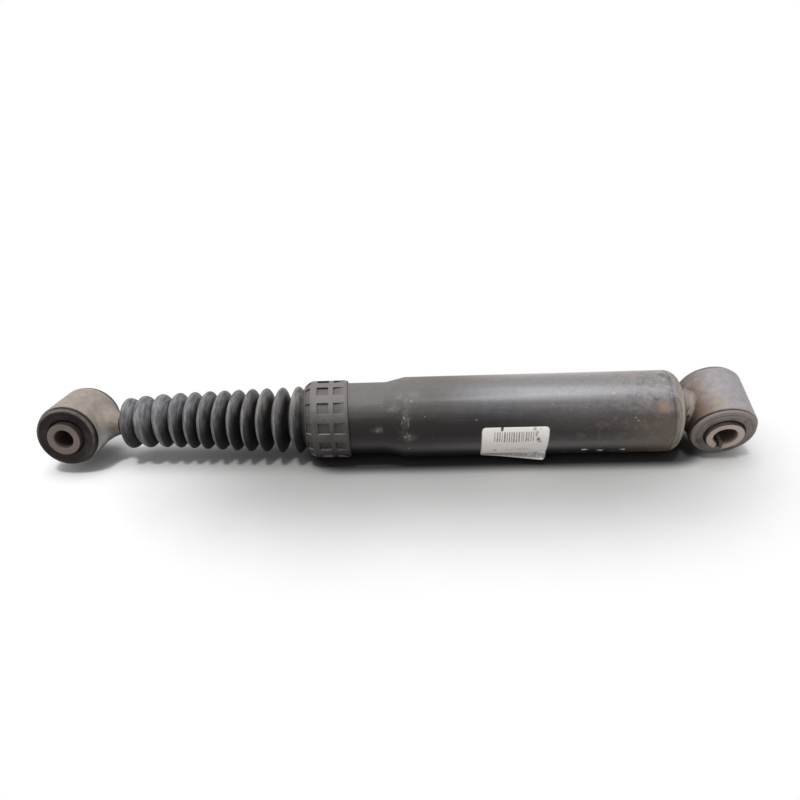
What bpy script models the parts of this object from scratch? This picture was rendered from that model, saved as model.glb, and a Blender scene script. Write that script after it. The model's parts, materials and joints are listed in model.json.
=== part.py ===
"""Rear shock absorber: a twin-tube damper with a bushed eye at each end, lying on its side.

Metres, +Z up. X is the damper's axis: the upper eye, on the rod, is at -X and the lower eye, on
the body, at +X. The origin is on the surface that the damper lies on, under the middle of its
length. The rod is fully out, as it stands when nothing presses on it.
"""
import math

import bmesh
import bpy
from mathutils import Matrix, Vector

# The whole damper
EXTENDED_LENGTH = 0.4030        # eye centre to eye centre with the rod out
STROKE = 0.0850                 # travel of the rod
END_CLEARANCE = 0.0060          # room left between the rod's tip and the base valve at full stroke
FIT = 0.0003                    # gap between pieces that seat on each other
RUNNING_GAP = 0.0003            # gap between pieces that slide or turn on each other

# Reserve tube: straight body, cone, neck with a rolled lip, rounded lower shoulder
TUBE_DIAMETER = 0.0510
TUBE_WALL = 0.0020
BODY_LENGTH = 0.1587
CONE_LENGTH = 0.0128
CONE_SWEEP = 1.4                # how softly the cone leaves the neck: 1 is a straight cone
NECK_DIAMETER = 0.0450
NECK_LENGTH = 0.0452
LIP_OPENING = 0.0330
LIP_RADIUS = 0.0025
SHOULDER_RADIUS = 0.0080

# Base cap, pressed into the lower end
CAP_PROUD = 0.0026
CAP_EDGE = 0.0040
CAP_THICKNESS = 0.0050
CAP_SKIRT_LENGTH = 0.0030
CAP_SKIRT_WALL = 0.0030

# Eyes, with the turn of each about the damper's axis: a positive angle tips its front down
EYE_DIAMETER = 0.0400
EYE_WALL = 0.0028
EYE_LENGTH = 0.0340
EYE_CHAMFER = 0.0005
UPPER_EYE_TIP = math.radians(-4.0)
LOWER_EYE_TIP = math.radians(21.0)
UPPER_BOSS_ROOT = 0.0236        # across the weld cone where it leaves the eye
UPPER_BOSS_DIAMETER = 0.0132
UPPER_BOSS_LENGTH = 0.0067
LOWER_STEM_DIAMETER = 0.0220
LOWER_STEM_LENGTH = 0.0015

# Rubber bushes and their sleeves
FLANGE_DIAMETER = 0.0374
FLANGE_THICKNESS = 0.0019
FLANGE_RIM = 0.0004
SLEEVE_LENGTH = 0.0446
UPPER_SLEEVE_DIAMETER = 0.0210
UPPER_BOLT_BORE = 0.0122
LOWER_SLEEVE_DIAMETER = 0.0222
LOWER_BOLT_BORE = 0.0142
SEAM_WIDTH = 0.0036
SEAM_ANGLE = math.radians(-122.0)   # from the eye's inner side, seen from its front

# Rod and the rebound stop on it
ROD_DIAMETER = 0.0125
SPIGOT_DIAMETER = 0.0080
ROD_CHAMFER = 0.0008
STOP_GROOVE_DEPTH = 0.0007
STOP_DIAMETER = 0.0210
STOP_WIDTH = 0.0030
BUMPER_DIAMETER = 0.0220
BUMPER_LENGTH = 0.0070

# Seal and guide stack at the top of the tube
SEAL_WASHER_THICKNESS = 0.0020
SEAL_WASHER_BORE = 0.0170
SEAL_THICKNESS = 0.0060
SEAL_LIP = 0.0010
GUIDE_FLANGE_LENGTH = 0.0072
GUIDE_SPIGOT_LENGTH = 0.0120
GUIDE_BORE_RELIEF = 0.0008
BUSH_WALL = 0.0012
BUSH_LENGTH = 0.0140
O_RING_SECTION = 0.0020
O_RING_SIDES = 6

# Pressure tube
PRESSURE_BORE = 0.0300
PRESSURE_WALL = 0.0015

# Valves: a ported body with a hub, a check disc round the hub and a star spring that holds it down
HUB_DIAMETER = 0.0180
HUB_HEIGHT = 0.0022
DISC_THICKNESS = 0.0008
DISC_DIAMETER = 0.0268
SPRING_THICKNESS = 0.0004
SPRING_RING = 0.0012
SPRING_TIP_DIAMETER = 0.0250
FINGERS = 6
FINGER_GAP = 0.0040
PORTS = 6
INNER_PORT_CIRCLE = 0.0144
INNER_PORT_BORE = 0.0020
OUTER_PORT_CIRCLE = 0.0228
OUTER_PORT_BORE = 0.0026
SHIM_DIAMETER = 0.0167
SHIM_STACK = 0.0012

# Piston on the rod's spigot
PISTON_LENGTH = 0.0120
PISTON_GAP = 0.0006
BAND_WIDTH = 0.0060
BAND_DEPTH = 0.0010
RETAINER_DIAMETER = 0.0120
RETAINER_THICKNESS = 0.0020
BACKING_DIAMETER = 0.0150
BACKING_THICKNESS = 0.0020
PISTON_NUT_ACROSS_FLATS = 0.0130
PISTON_NUT_HEIGHT = 0.0065
THREAD_SHOWING = 0.0014

# Base valve, which stands on the cap and closes the pressure tube
VALVE_PLUG_LENGTH = 0.0035
VALVE_FLANGE_LENGTH = 0.0027
FOOT_LENGTH = 0.0087
FOOT_WALL = 0.0013
FOOT_SLOT = 0.0050
FOOT_SLOTS = 3
BOLT_DIAMETER = 0.0050
BOLT_HEAD_DIAMETER = 0.0090
BOLT_HEAD_HEIGHT = 0.0030
VALVE_NUT_ACROSS_FLATS = 0.0080
VALVE_NUT_HEIGHT = 0.0035

# Gaiter: a rubber bellows from the rod's top to the collar
CONVOLUTIONS = 12
GAITER_WALL = 0.0016
GAITER_CREST_WALL = 0.0024
GAITER_SETBACK = 0.0022         # bare rod between the boss and the cuff
GAITER_CUFF_WALL = 0.0016
GAITER_CUFF_LENGTH = 0.0016
GAITER_FIRST_FACE = 0.0042
GAITER_LAST_FACE = 0.0069
GAITER_TAIL_DIAMETER = 0.0338
GAITER_TAIL_LENGTH = 0.0020
GAITER_FLANGE = 0.0036
FIRST_CREST_DIAMETER = 0.0324
LAST_CREST_DIAMETER = 0.0424
FIRST_VALLEY_DIAMETER = 0.0248
LAST_VALLEY_DIAMETER = 0.0230
GAITER_DRIFT = 0.0018           # how far the convolutions lie off an even pitch, one way and the other
GAITER_LEAN = 0.0009            # how far the middle ones are pushed towards the collar
GAITER_BOW = 0.0017             # how far the bellows is bowed up off the rod's line
BOW_SKEW = 0.55                 # below 1, the bow is highest towards the rod's end
LOBE_STEPS = 6
ROUND_LOBE = 0.72               # form of the first lobe, full and round
SHARP_LOBE = 1.32               # form of the last one, with a narrow crest
END_FACE = 2.2                  # form of the first lobe's outer side, a steep end face

# Collar: a windowed plastic ring, measured row by row from its face
COLLAR_WALL = 0.0015
COLLAR_OVERHANG = 0.0034
COLLAR_FACE_WALL = 0.0015
COLLAR_CHAMFER = 0.0026
COLLAR_CHAMFER_LENGTH = 0.0032
COLLAR_FRONT_LAND = 0.0011
FRONT_WINDOW = 0.0032
FRONT_RIB = 0.0042
MIDDLE_WINDOW = 0.0071
MIDDLE_RIB = 0.0030
REAR_WINDOW = 0.0066
COLLAR_RIM = 0.0020
COLLAR_RIM_TAPER = 0.0005
COLUMNS = 12
WINDOW_ANGLE = math.radians(16.0)
WINDOW_PHASE = math.radians(12.5)   # first column's height above the front

# Facets round each turned piece
SEGMENTS = 32
COLLAR_SEGMENTS = 48
GAITER_SEGMENTS = 24
BUSH_SEGMENTS = 24
INNER_SEGMENTS = 20
PORT_SEGMENTS = 8

# Radii worked out from the sizes
tube_r = TUBE_DIAMETER / 2
tube_bore_r = tube_r - TUBE_WALL
neck_r = NECK_DIAMETER / 2
neck_bore_r = neck_r - TUBE_WALL
shoulder_opening_r = tube_r - SHOULDER_RADIUS
rod_r = ROD_DIAMETER / 2
rod_bore_r = rod_r + RUNNING_GAP
spigot_r = SPIGOT_DIAMETER / 2
spigot_bore_r = spigot_r + FIT
pressure_bore_r = PRESSURE_BORE / 2
pressure_r = pressure_bore_r + PRESSURE_WALL
bolt_bore_r = BOLT_DIAMETER / 2 + FIT
eye_r = EYE_DIAMETER / 2
eye_bore_r = eye_r - EYE_WALL
hub_r = HUB_DIAMETER / 2
collar_bore_r = neck_r + FIT
collar_r = collar_bore_r + COLLAR_WALL

# Places along the axis, worked out from the sizes, from the lower eye to the upper
upper_eye_x = -EXTENDED_LENGTH / 2
lower_eye_x = EXTENDED_LENGTH / 2
cap_end = lower_eye_x - eye_r - LOWER_STEM_LENGTH
tube_tip = cap_end - CAP_PROUD
shoulder_start = tube_tip - SHOULDER_RADIUS
cone_end = shoulder_start - BODY_LENGTH
cone_start = cone_end - CONE_LENGTH
neck_end = cone_start - NECK_LENGTH
collar_face = neck_end - COLLAR_OVERHANG
boss_end = upper_eye_x + eye_r + UPPER_BOSS_LENGTH
rod_start = boss_end + FIT

# The seal and guide stack, from the rolled lip inwards
washer_start = neck_end + TUBE_WALL + FIT
washer_end = washer_start + SEAL_WASHER_THICKNESS
seal_start = washer_end + FIT
seal_end = seal_start + SEAL_THICKNESS
guide_start = seal_end + FIT
guide_flange_end = guide_start + GUIDE_FLANGE_LENGTH
guide_end = guide_flange_end + GUIDE_SPIGOT_LENGTH
bumper_start = guide_end + FIT
bumper_end = bumper_start + BUMPER_LENGTH
stop_start = bumper_end + FIT
stop_end = stop_start + STOP_WIDTH

# The base valve, from the cap upwards
cap_floor = cap_end - CAP_THICKNESS
valve_flange_end = cap_floor - FIT - FOOT_LENGTH
valve_flange_start = valve_flange_end - VALVE_FLANGE_LENGTH
valve_face = valve_flange_start - VALVE_PLUG_LENGTH
valve_hub_top = valve_face - HUB_HEIGHT
valve_spring_top = valve_hub_top - FIT - SPRING_THICKNESS
bolt_head_end = valve_spring_top - FIT
bolt_top = bolt_head_end - BOLT_HEAD_HEIGHT
valve_shims_start = valve_flange_end + FIT
valve_nut_start = valve_shims_start + SHIM_STACK + FIT

# The piston stack, from the rod's tip back to its shoulder
rod_tip = bolt_top - END_CLEARANCE - STROKE
piston_nut_end = rod_tip - THREAD_SHOWING
piston_nut_start = piston_nut_end - PISTON_NUT_HEIGHT
backing_start = piston_nut_start - FIT - BACKING_THICKNESS
rebound_shims_start = backing_start - FIT - SHIM_STACK
piston_end = rebound_shims_start - FIT
piston_face = piston_end - PISTON_LENGTH
piston_hub_top = piston_face - HUB_HEIGHT
piston_spring_top = piston_hub_top - FIT - SPRING_THICKNESS
retainer_start = piston_spring_top - FIT - RETAINER_THICKNESS
rod_shoulder = retainer_start - FIT


def finish(name, colour, roughness, metallic):
    """Material of one piece."""
    material = bpy.data.materials.new(name)
    material.use_nodes = True
    shader = material.node_tree.nodes["Principled BSDF"]
    shader.inputs["Base Color"].default_value = (*colour, 1.0)
    shader.inputs["Roughness"].default_value = roughness
    shader.inputs["Metallic"].default_value = metallic
    return material


def black_paint(name):
    return finish(name, (0.030, 0.029, 0.031), 0.45, 0.0)


def weathered_steel(name):
    return finish(name, (0.30, 0.27, 0.25), 0.55, 0.8)


def bright_steel(name):
    return finish(name, (0.55, 0.55, 0.56), 0.25, 1.0)


def plain_steel(name):
    return finish(name, (0.36, 0.36, 0.37), 0.40, 1.0)


def sintered_iron(name):
    return finish(name, (0.20, 0.20, 0.21), 0.55, 0.9)


def rubber(name):
    return finish(name, (0.045, 0.042, 0.043), 0.75, 0.0)


def dark_plastic(name):
    return finish(name, (0.070, 0.066, 0.064), 0.60, 0.0)


def bearing_bronze(name):
    return finish(name, (0.45, 0.30, 0.16), 0.40, 0.9)


def pivot(name, location, parent=None, turn=(0.0, 0.0, 0.0)):
    """Empty on a joint's axis, which carries the pieces that move about it."""
    empty = bpy.data.objects.new(name, None)
    bpy.context.collection.objects.link(empty)
    empty.rotation_mode = "ZYX"
    empty.rotation_euler = turn
    empty.location = location
    empty.parent = parent
    return empty


def place(name, bm, carrier, material=None):
    """Turn a finished bmesh into an object; with no material it is a cutter."""
    bmesh.ops.recalc_face_normals(bm, faces=bm.faces)
    mesh = bpy.data.meshes.new(name)
    bm.to_mesh(mesh)
    bm.free()
    piece = bpy.data.objects.new(name, mesh)
    bpy.context.collection.objects.link(piece)
    piece.parent = carrier
    if material is None:
        piece.hide_render = True
        piece.display_type = "WIRE"
    else:
        mesh.materials.append(material)
        mesh.shade_smooth()
        mesh.set_sharp_from_angle(angle=math.radians(32))
    return piece


def spin_profile(bm, profile, segments):
    """Spin points (x, r) about X with a flat facing down; ends on the axis close by themselves."""
    start = Matrix.Rotation(math.pi / segments, 4, "X")
    verts = [bm.verts.new(start @ Vector((x, 0.0, -r))) for x, r in profile]
    pairs = list(zip(verts, verts[1:]))
    if profile[0][1] > 0.0:
        pairs.append((verts[-1], verts[0]))
    edges = [bm.edges.new(pair) for pair in pairs]
    bmesh.ops.spin(bm, geom=verts + edges, cent=(0, 0, 0), axis=(1, 0, 0),
                   angle=math.tau, steps=segments, use_merge=True)
    bmesh.ops.remove_doubles(bm, verts=bm.verts, dist=1e-6)


def turned(name, profile, carrier, material=None, segments=INNER_SEGMENTS):
    """Turned piece about its carrier's X axis."""
    bm = bmesh.new()
    spin_profile(bm, profile, segments)
    return place(name, bm, carrier, material)


def ring(name, start, end, bore_r, outer_r, carrier, material, segments=INNER_SEGMENTS):
    """Plain ring or washer."""
    profile = [(start, bore_r), (start, outer_r), (end, outer_r), (end, bore_r)]
    return turned(name, profile, carrier, material, segments)


def arc(centre_x, centre_r, radius, first, last, steps):
    """Points of a profile's round stretch; 0 degrees points along +X and 90 away from the axis."""
    points = []
    for step in range(steps + 1):
        angle = math.radians(first + (last - first) * step / steps)
        points.append((centre_x + radius * math.cos(angle), centre_r + radius * math.sin(angle)))
    return points


def carve(piece, tool, operation="DIFFERENCE"):
    """Boolean of a piece with a hidden tool."""
    modifier = piece.modifiers.new(tool.name, "BOOLEAN")
    modifier.operation = operation
    modifier.solver = "EXACT"
    modifier.object = tool


def add_rod(bm, start, end, radius, centre_r, angle, segments):
    """Straight round bar along X, off the axis by centre_r at the angle."""
    where = Matrix.Rotation(angle, 4, "X") @ Matrix.Translation(((start + end) / 2, 0.0, centre_r))
    bmesh.ops.create_cone(bm, cap_ends=True, segments=segments, radius1=radius, radius2=radius,
                          depth=end - start, matrix=where @ Matrix.Rotation(math.pi / 2, 4, "Y"))


def add_block(bm, centre, size, angle):
    """Box whose centre and sides are turned about X by the angle."""
    where = Matrix.Rotation(angle, 4, "X") @ Matrix.Translation(centre)
    bmesh.ops.create_cube(bm, size=1.0, matrix=where @ Matrix.Diagonal((*size, 1.0)))


def add_sector(bm, start, end, start_floor_r, end_floor_r, top_r, angle):
    """Window cutter: a block with radial sides, whose floor may ramp from start to end."""
    corners = []
    for x, floor_r in ((start, start_floor_r), (end, end_floor_r)):
        for r, side in ((floor_r, -1), (floor_r, 1), (top_r, 1), (top_r, -1)):
            at = angle + side * WINDOW_ANGLE / 2
            corners.append(bm.verts.new((x, -r * math.cos(at), r * math.sin(at))))
    near = corners[:4]
    far = corners[4:]
    bm.faces.new(near)
    bm.faces.new(far)
    for index in range(4):
        after = (index + 1) % 4
        bm.faces.new((near[index], near[after], far[after], far[index]))


def hexagon(name, start, end, across_flats, bore_r, carrier, material):
    """Hexagon nut with a plain bore."""
    bm = bmesh.new()
    add_rod(bm, start, end, across_flats / math.sqrt(3.0), 0.0, 0.0, 6)
    nut = place(name, bm, carrier, material)
    bore = bmesh.new()
    add_rod(bore, start - across_flats, end + across_flats, bore_r, 0.0, 0.0, INNER_SEGMENTS)
    carve(nut, place(name + "_bore_cutter", bore, carrier))
    return nut


def star_spring(name, top, disc_start, bore_r, carrier):
    """Thin spring: a flat ring over the hub, with fingers that reach out and down to the disc."""
    bend_r = hub_r + SPRING_THICKNESS
    tip_r = SPRING_TIP_DIAMETER / 2
    tip = disc_start - FIT - SPRING_THICKNESS
    upper = [(top, bore_r), (top, bend_r), (tip, tip_r)]
    lower = [(x + SPRING_THICKNESS, r) for x, r in reversed(upper)]
    spring = turned(name, upper + lower, carrier, plain_steel(name))
    gaps = bmesh.new()
    ring_r = bore_r + SPRING_RING
    for index in range(FINGERS):
        add_block(gaps, (tip, 0.0, ring_r + tip_r / 2), (4 * HUB_HEIGHT, FINGER_GAP, tip_r),
                  math.tau * index / FINGERS)
    carve(spring, place(name + "_gap_cutter", gaps, carrier))
    return spring


def drill_ports(piece, start, end, carrier):
    """Two circles of ports right through a valve body, between the given faces."""
    ports = bmesh.new()
    for index in range(PORTS):
        angle = math.tau * index / PORTS
        half_step = math.pi / PORTS
        add_rod(ports, start, end, INNER_PORT_BORE / 2, INNER_PORT_CIRCLE / 2, angle, PORT_SEGMENTS)
        add_rod(ports, start, end, OUTER_PORT_BORE / 2, OUTER_PORT_CIRCLE / 2, angle + half_step,
                PORT_SEGMENTS)
    carve(piece, place(piece.name + "_port_cutter", ports, carrier))


def bush_profile(sleeve_r):
    """Rubber bush about its bolt axis: a core in the eye with a rounded flange on each side."""
    flange_r = FLANGE_DIAMETER / 2
    inner = EYE_LENGTH / 2 + FIT
    outer = inner + FLANGE_THICKNESS
    front = [
        (inner, eye_bore_r - FIT),
        (inner, flange_r),
        (inner + FLANGE_RIM, flange_r),
        (outer - FLANGE_RIM, flange_r - FLANGE_THICKNESS / 3),
        (outer, flange_r - FLANGE_THICKNESS),
        (outer, sleeve_r + FLANGE_THICKNESS / 2),
        (outer - FLANGE_THICKNESS / 2, sleeve_r + FIT),
    ]
    back = [(-x, r) for x, r in reversed(front)]
    return front + back


def eye_reach(sleeve_diameter, tip):
    """How far below the damper's axis an eye's lowest corner lies."""
    points = bush_profile(sleeve_diameter / 2)
    points.append((SLEEVE_LENGTH / 2, sleeve_diameter / 2))
    points.append((EYE_LENGTH / 2 - EYE_CHAMFER, eye_r))
    return max(abs(x) * abs(math.sin(tip)) + r * math.cos(tip) for x, r in points)


def make_eye(side, carrier, stem, sleeve_diameter, bolt_bore):
    """Welded ring with its stem (end, root and end radius, turn), the rubber bush and the sleeve in it."""
    stem_end, root_r, stem_r, stem_turn = stem
    half = EYE_LENGTH / 2
    name = side + "_eye"
    barrel = [
        (-half, 0.0),
        (-half, eye_r - EYE_CHAMFER),
        (-half + EYE_CHAMFER, eye_r),
        (half - EYE_CHAMFER, eye_r),
        (half, eye_r - EYE_CHAMFER),
        (half, 0.0),
    ]
    eye = turned(name, barrel, carrier, weathered_steel(name), SEGMENTS)
    cone = [
        (0.0, 0.0),
        (0.0, root_r),
        (eye_bore_r, root_r),
        (stem_end, stem_r),
        (stem_end, 0.0),
    ]
    boss = turned(name + "_stem_cutter", cone, carrier, None, INNER_SEGMENTS)
    boss.rotation_euler = (0.0, 0.0, stem_turn)
    carve(eye, boss, "UNION")
    hole = [
        (-EYE_LENGTH, 0.0),
        (-EYE_LENGTH, eye_bore_r),
        (EYE_LENGTH, eye_bore_r),
        (EYE_LENGTH, 0.0),
    ]
    carve(eye, turned(name + "_bore_cutter", hole, carrier, None, SEGMENTS))
    sleeve_r = sleeve_diameter / 2
    name = side + "_bush_rubber"
    turned(name, bush_profile(sleeve_r), carrier, rubber(name), BUSH_SEGMENTS)
    name = side + "_bush_sleeve"
    return ring(name, -SLEEVE_LENGTH / 2, SLEEVE_LENGTH / 2, bolt_bore / 2, sleeve_r, carrier,
                weathered_steel(name), BUSH_SEGMENTS)


def make_reserve_tube(axis):
    """Outer tube: lip rolled in at the neck, cone, straight body, rounded lower shoulder."""
    lip_r = LIP_OPENING / 2
    cone_steps = 4
    outer = [(neck_end, lip_r)]
    outer += arc(neck_end + LIP_RADIUS, neck_r - LIP_RADIUS, LIP_RADIUS, 180, 90, 3)
    for step in range(cone_steps + 1):
        share = step / cone_steps
        outer.append((cone_start + CONE_LENGTH * share, neck_r + (tube_r - neck_r) * share ** CONE_SWEEP))
    outer += arc(shoulder_start, tube_r - SHOULDER_RADIUS, SHOULDER_RADIUS, 90, 0, 5)
    inner = arc(shoulder_start, tube_r - SHOULDER_RADIUS, SHOULDER_RADIUS - TUBE_WALL, 0, 90, 4)
    inner += [
        (cone_end, tube_bore_r),
        (cone_start, neck_bore_r),
        (neck_end + TUBE_WALL, neck_bore_r),
        (neck_end + TUBE_WALL, lip_r),
    ]
    turned("reserve_tube", outer + inner, axis, black_paint("reserve_tube"), SEGMENTS)


def make_base_cap(axis):
    """Dished cap seated in the shoulder, with a skirt up the tube's wall."""
    opening_r = shoulder_opening_r - FIT
    skirt_r = tube_bore_r - FIT
    skirt_start = shoulder_start - CAP_SKIRT_LENGTH
    skirt_bore_r = skirt_r - CAP_SKIRT_WALL
    seat = arc(shoulder_start, opening_r, skirt_r - opening_r, 0, 90, 4)
    floor_r = opening_r - CAP_SKIRT_WALL - CAP_EDGE / 2
    profile = [
        (cap_end, 0.0),
        (cap_end, opening_r - CAP_EDGE),
        (cap_end - CAP_PROUD / 2, opening_r - CAP_EDGE / 3),
        (tube_tip - FIT, opening_r),
    ]
    profile += seat
    profile += [
        (skirt_start, skirt_r),
        (skirt_start, skirt_bore_r),
        (shoulder_start, skirt_bore_r),
        (cap_floor, floor_r),
        (cap_floor, 0.0),
    ]
    turned("base_cap", profile, axis, weathered_steel("base_cap"), SEGMENTS)


def make_seal_stack(axis):
    """Washer under the lip, lip seal, guide with its bearing bush, and the ring that seals it."""
    stack_r = neck_bore_r - FIT
    ring("seal_washer", washer_start, washer_end, SEAL_WASHER_BORE / 2, stack_r - FIT, axis,
         plain_steel("seal_washer"))
    throat_r = rod_bore_r + SEAL_LIP
    seal = [
        (seal_start, rod_bore_r),
        (seal_start, stack_r),
        (seal_end, stack_r),
        (seal_end, throat_r),
        (seal_end - SEAL_LIP, rod_bore_r),
        (seal_end - 2 * SEAL_LIP, rod_bore_r),
        (seal_end - 3 * SEAL_LIP, throat_r),
        (seal_start + 2 * SEAL_LIP, throat_r),
        (seal_start + SEAL_LIP, rod_bore_r),
    ]
    turned("rod_seal", seal, axis, rubber("rod_seal"))
    bush_r = rod_bore_r + BUSH_WALL
    bush_start = guide_start + FIT
    bush_end = bush_start + BUSH_LENGTH
    groove_middle = guide_start + GUIDE_FLANGE_LENGTH / 2
    groove_half = O_RING_SECTION / 2 + FIT
    groove_r = stack_r - O_RING_SECTION
    relief_r = rod_bore_r + GUIDE_BORE_RELIEF
    guide = [
        (guide_start, bush_r + FIT),
        (guide_start, stack_r),
        (groove_middle - groove_half, stack_r),
        (groove_middle - groove_half, groove_r),
        (groove_middle + groove_half, groove_r),
        (groove_middle + groove_half, stack_r),
        (guide_flange_end, stack_r),
        (guide_flange_end, pressure_bore_r - FIT),
        (guide_end, pressure_bore_r - FIT),
        (guide_end, relief_r),
        (bush_end + FIT, relief_r),
        (bush_end + FIT, bush_r + FIT),
    ]
    turned("rod_guide", guide, axis, sintered_iron("rod_guide"))
    ring("guide_bush", bush_start, bush_end, rod_bore_r, bush_r, axis, bearing_bronze("guide_bush"))
    section_r = O_RING_SECTION / 2
    last_corner = 360 - 360 / O_RING_SIDES
    section = arc(groove_middle, groove_r + FIT / 2 + section_r, section_r - FIT / 2, 0, last_corner,
                  O_RING_SIDES - 1)
    turned("guide_o_ring", section, axis, rubber("guide_o_ring"))


def make_base_valve(axis):
    """Ported plug on slotted feet, with its check disc, star spring, shims, bolt and nut."""
    foot_bore_r = SHIM_DIAMETER / 2 + FIT
    foot_r = foot_bore_r + FOOT_WALL
    feet_end = cap_floor - FIT
    profile = [
        (valve_hub_top, bolt_bore_r),
        (valve_hub_top, hub_r),
        (valve_face, hub_r),
        (valve_face, pressure_bore_r - FIT),
        (valve_flange_start, pressure_bore_r - FIT),
        (valve_flange_start, pressure_r),
        (valve_flange_end, pressure_r),
        (valve_flange_end, foot_r),
        (feet_end, foot_r),
        (feet_end, foot_bore_r),
        (valve_flange_end, foot_bore_r),
        (valve_flange_end, bolt_bore_r),
    ]
    body = turned("base_valve_body", profile, axis, sintered_iron("base_valve_body"))
    drill_ports(body, valve_hub_top - HUB_HEIGHT, valve_flange_end + FOOT_LENGTH / 4, axis)
    slots = bmesh.new()
    slot_start = valve_flange_end + FOOT_LENGTH / 2
    slot_end = feet_end + FOOT_LENGTH
    for index in range(FOOT_SLOTS):
        add_block(slots, ((slot_start + slot_end) / 2, 0.0, 0.0),
                  (slot_end - slot_start, FOOT_SLOT, 4 * foot_r), math.pi * index / FOOT_SLOTS)
    carve(body, place("base_valve_slot_cutter", slots, axis))
    disc_end = valve_face - FIT
    disc_start = disc_end - DISC_THICKNESS
    ring("base_check_disc", disc_start, disc_end, hub_r + RUNNING_GAP, DISC_DIAMETER / 2, axis,
         plain_steel("base_check_disc"))
    star_spring("base_star_spring", valve_spring_top, disc_start, bolt_bore_r, axis)
    ring("base_valve_shims", valve_shims_start, valve_shims_start + SHIM_STACK, bolt_bore_r,
         SHIM_DIAMETER / 2, axis, plain_steel("base_valve_shims"))
    shank_end = valve_nut_start + VALVE_NUT_HEIGHT + FIT
    shank_r = BOLT_DIAMETER / 2
    bolt = [
        (bolt_top, 0.0),
        (bolt_top, BOLT_HEAD_DIAMETER / 2),
        (bolt_head_end, BOLT_HEAD_DIAMETER / 2),
        (bolt_head_end, shank_r),
        (shank_end, shank_r),
        (shank_end, 0.0),
    ]
    turned("base_valve_bolt", bolt, axis, plain_steel("base_valve_bolt"))
    hexagon("base_valve_nut", valve_nut_start, valve_nut_start + VALVE_NUT_HEIGHT,
            VALVE_NUT_ACROSS_FLATS, bolt_bore_r, axis, plain_steel("base_valve_nut"))


def make_rod(axis):
    """Rod with a groove for the stop ring, a shoulder and a spigot for the piston stack."""
    groove_r = rod_r - STOP_GROOVE_DEPTH
    profile = [
        (rod_start, 0.0),
        (rod_start, rod_r),
        (stop_start - FIT, rod_r),
        (stop_start - FIT, groove_r),
        (stop_end + FIT, groove_r),
        (stop_end + FIT, rod_r),
        (rod_shoulder, rod_r),
        (rod_shoulder, spigot_r),
        (rod_tip - ROD_CHAMFER, spigot_r),
        (rod_tip, spigot_r - ROD_CHAMFER),
        (rod_tip, 0.0),
    ]
    turned("piston_rod", profile, axis, bright_steel("piston_rod"))
    bumper_r = BUMPER_DIAMETER / 2
    bumper = [
        (bumper_start, rod_bore_r),
        (bumper_start, bumper_r - ROD_CHAMFER),
        (bumper_start + ROD_CHAMFER, bumper_r),
        (bumper_end, bumper_r),
        (bumper_end, rod_bore_r),
    ]
    turned("rebound_bumper", bumper, axis, dark_plastic("rebound_bumper"))
    ring("rebound_stop_ring", stop_start, stop_end, groove_r + FIT, STOP_DIAMETER / 2, axis,
         plain_steel("rebound_stop_ring"))


def make_piston(axis):
    """Ported piston with its band, check disc, star spring, shims and nut, on the rod's spigot."""
    ring("spring_retainer", retainer_start, retainer_start + RETAINER_THICKNESS, spigot_bore_r,
         RETAINER_DIAMETER / 2, axis, plain_steel("spring_retainer"))
    disc_end = piston_face - FIT
    disc_start = disc_end - DISC_THICKNESS
    star_spring("piston_star_spring", piston_spring_top, disc_start, spigot_bore_r, axis)
    ring("piston_check_disc", disc_start, disc_end, hub_r + RUNNING_GAP, DISC_DIAMETER / 2, axis,
         plain_steel("piston_check_disc"))
    piston_r = pressure_bore_r - PISTON_GAP
    band_middle = (piston_face + piston_end) / 2
    groove_half = BAND_WIDTH / 2 + FIT
    groove_r = piston_r - BAND_DEPTH
    profile = [
        (piston_hub_top, spigot_bore_r),
        (piston_hub_top, hub_r),
        (piston_face, hub_r),
        (piston_face, piston_r),
        (band_middle - groove_half, piston_r),
        (band_middle - groove_half, groove_r),
        (band_middle + groove_half, groove_r),
        (band_middle + groove_half, piston_r),
        (piston_end, piston_r),
        (piston_end, spigot_bore_r),
    ]
    piston = turned("piston", profile, axis, sintered_iron("piston"))
    drill_ports(piston, piston_hub_top - HUB_HEIGHT, piston_end + HUB_HEIGHT, axis)
    ring("piston_band", band_middle - BAND_WIDTH / 2, band_middle + BAND_WIDTH / 2, groove_r + FIT,
         pressure_bore_r - RUNNING_GAP, axis, dark_plastic("piston_band"))
    ring("rebound_shims", rebound_shims_start, rebound_shims_start + SHIM_STACK, spigot_bore_r,
         SHIM_DIAMETER / 2, axis, plain_steel("rebound_shims"))
    ring("backing_washer", backing_start, backing_start + BACKING_THICKNESS, spigot_bore_r,
         BACKING_DIAMETER / 2, axis, plain_steel("backing_washer"))
    hexagon("piston_nut", piston_nut_start, piston_nut_end, PISTON_NUT_ACROSS_FLATS, spigot_bore_r,
            axis, plain_steel("piston_nut"))


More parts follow.
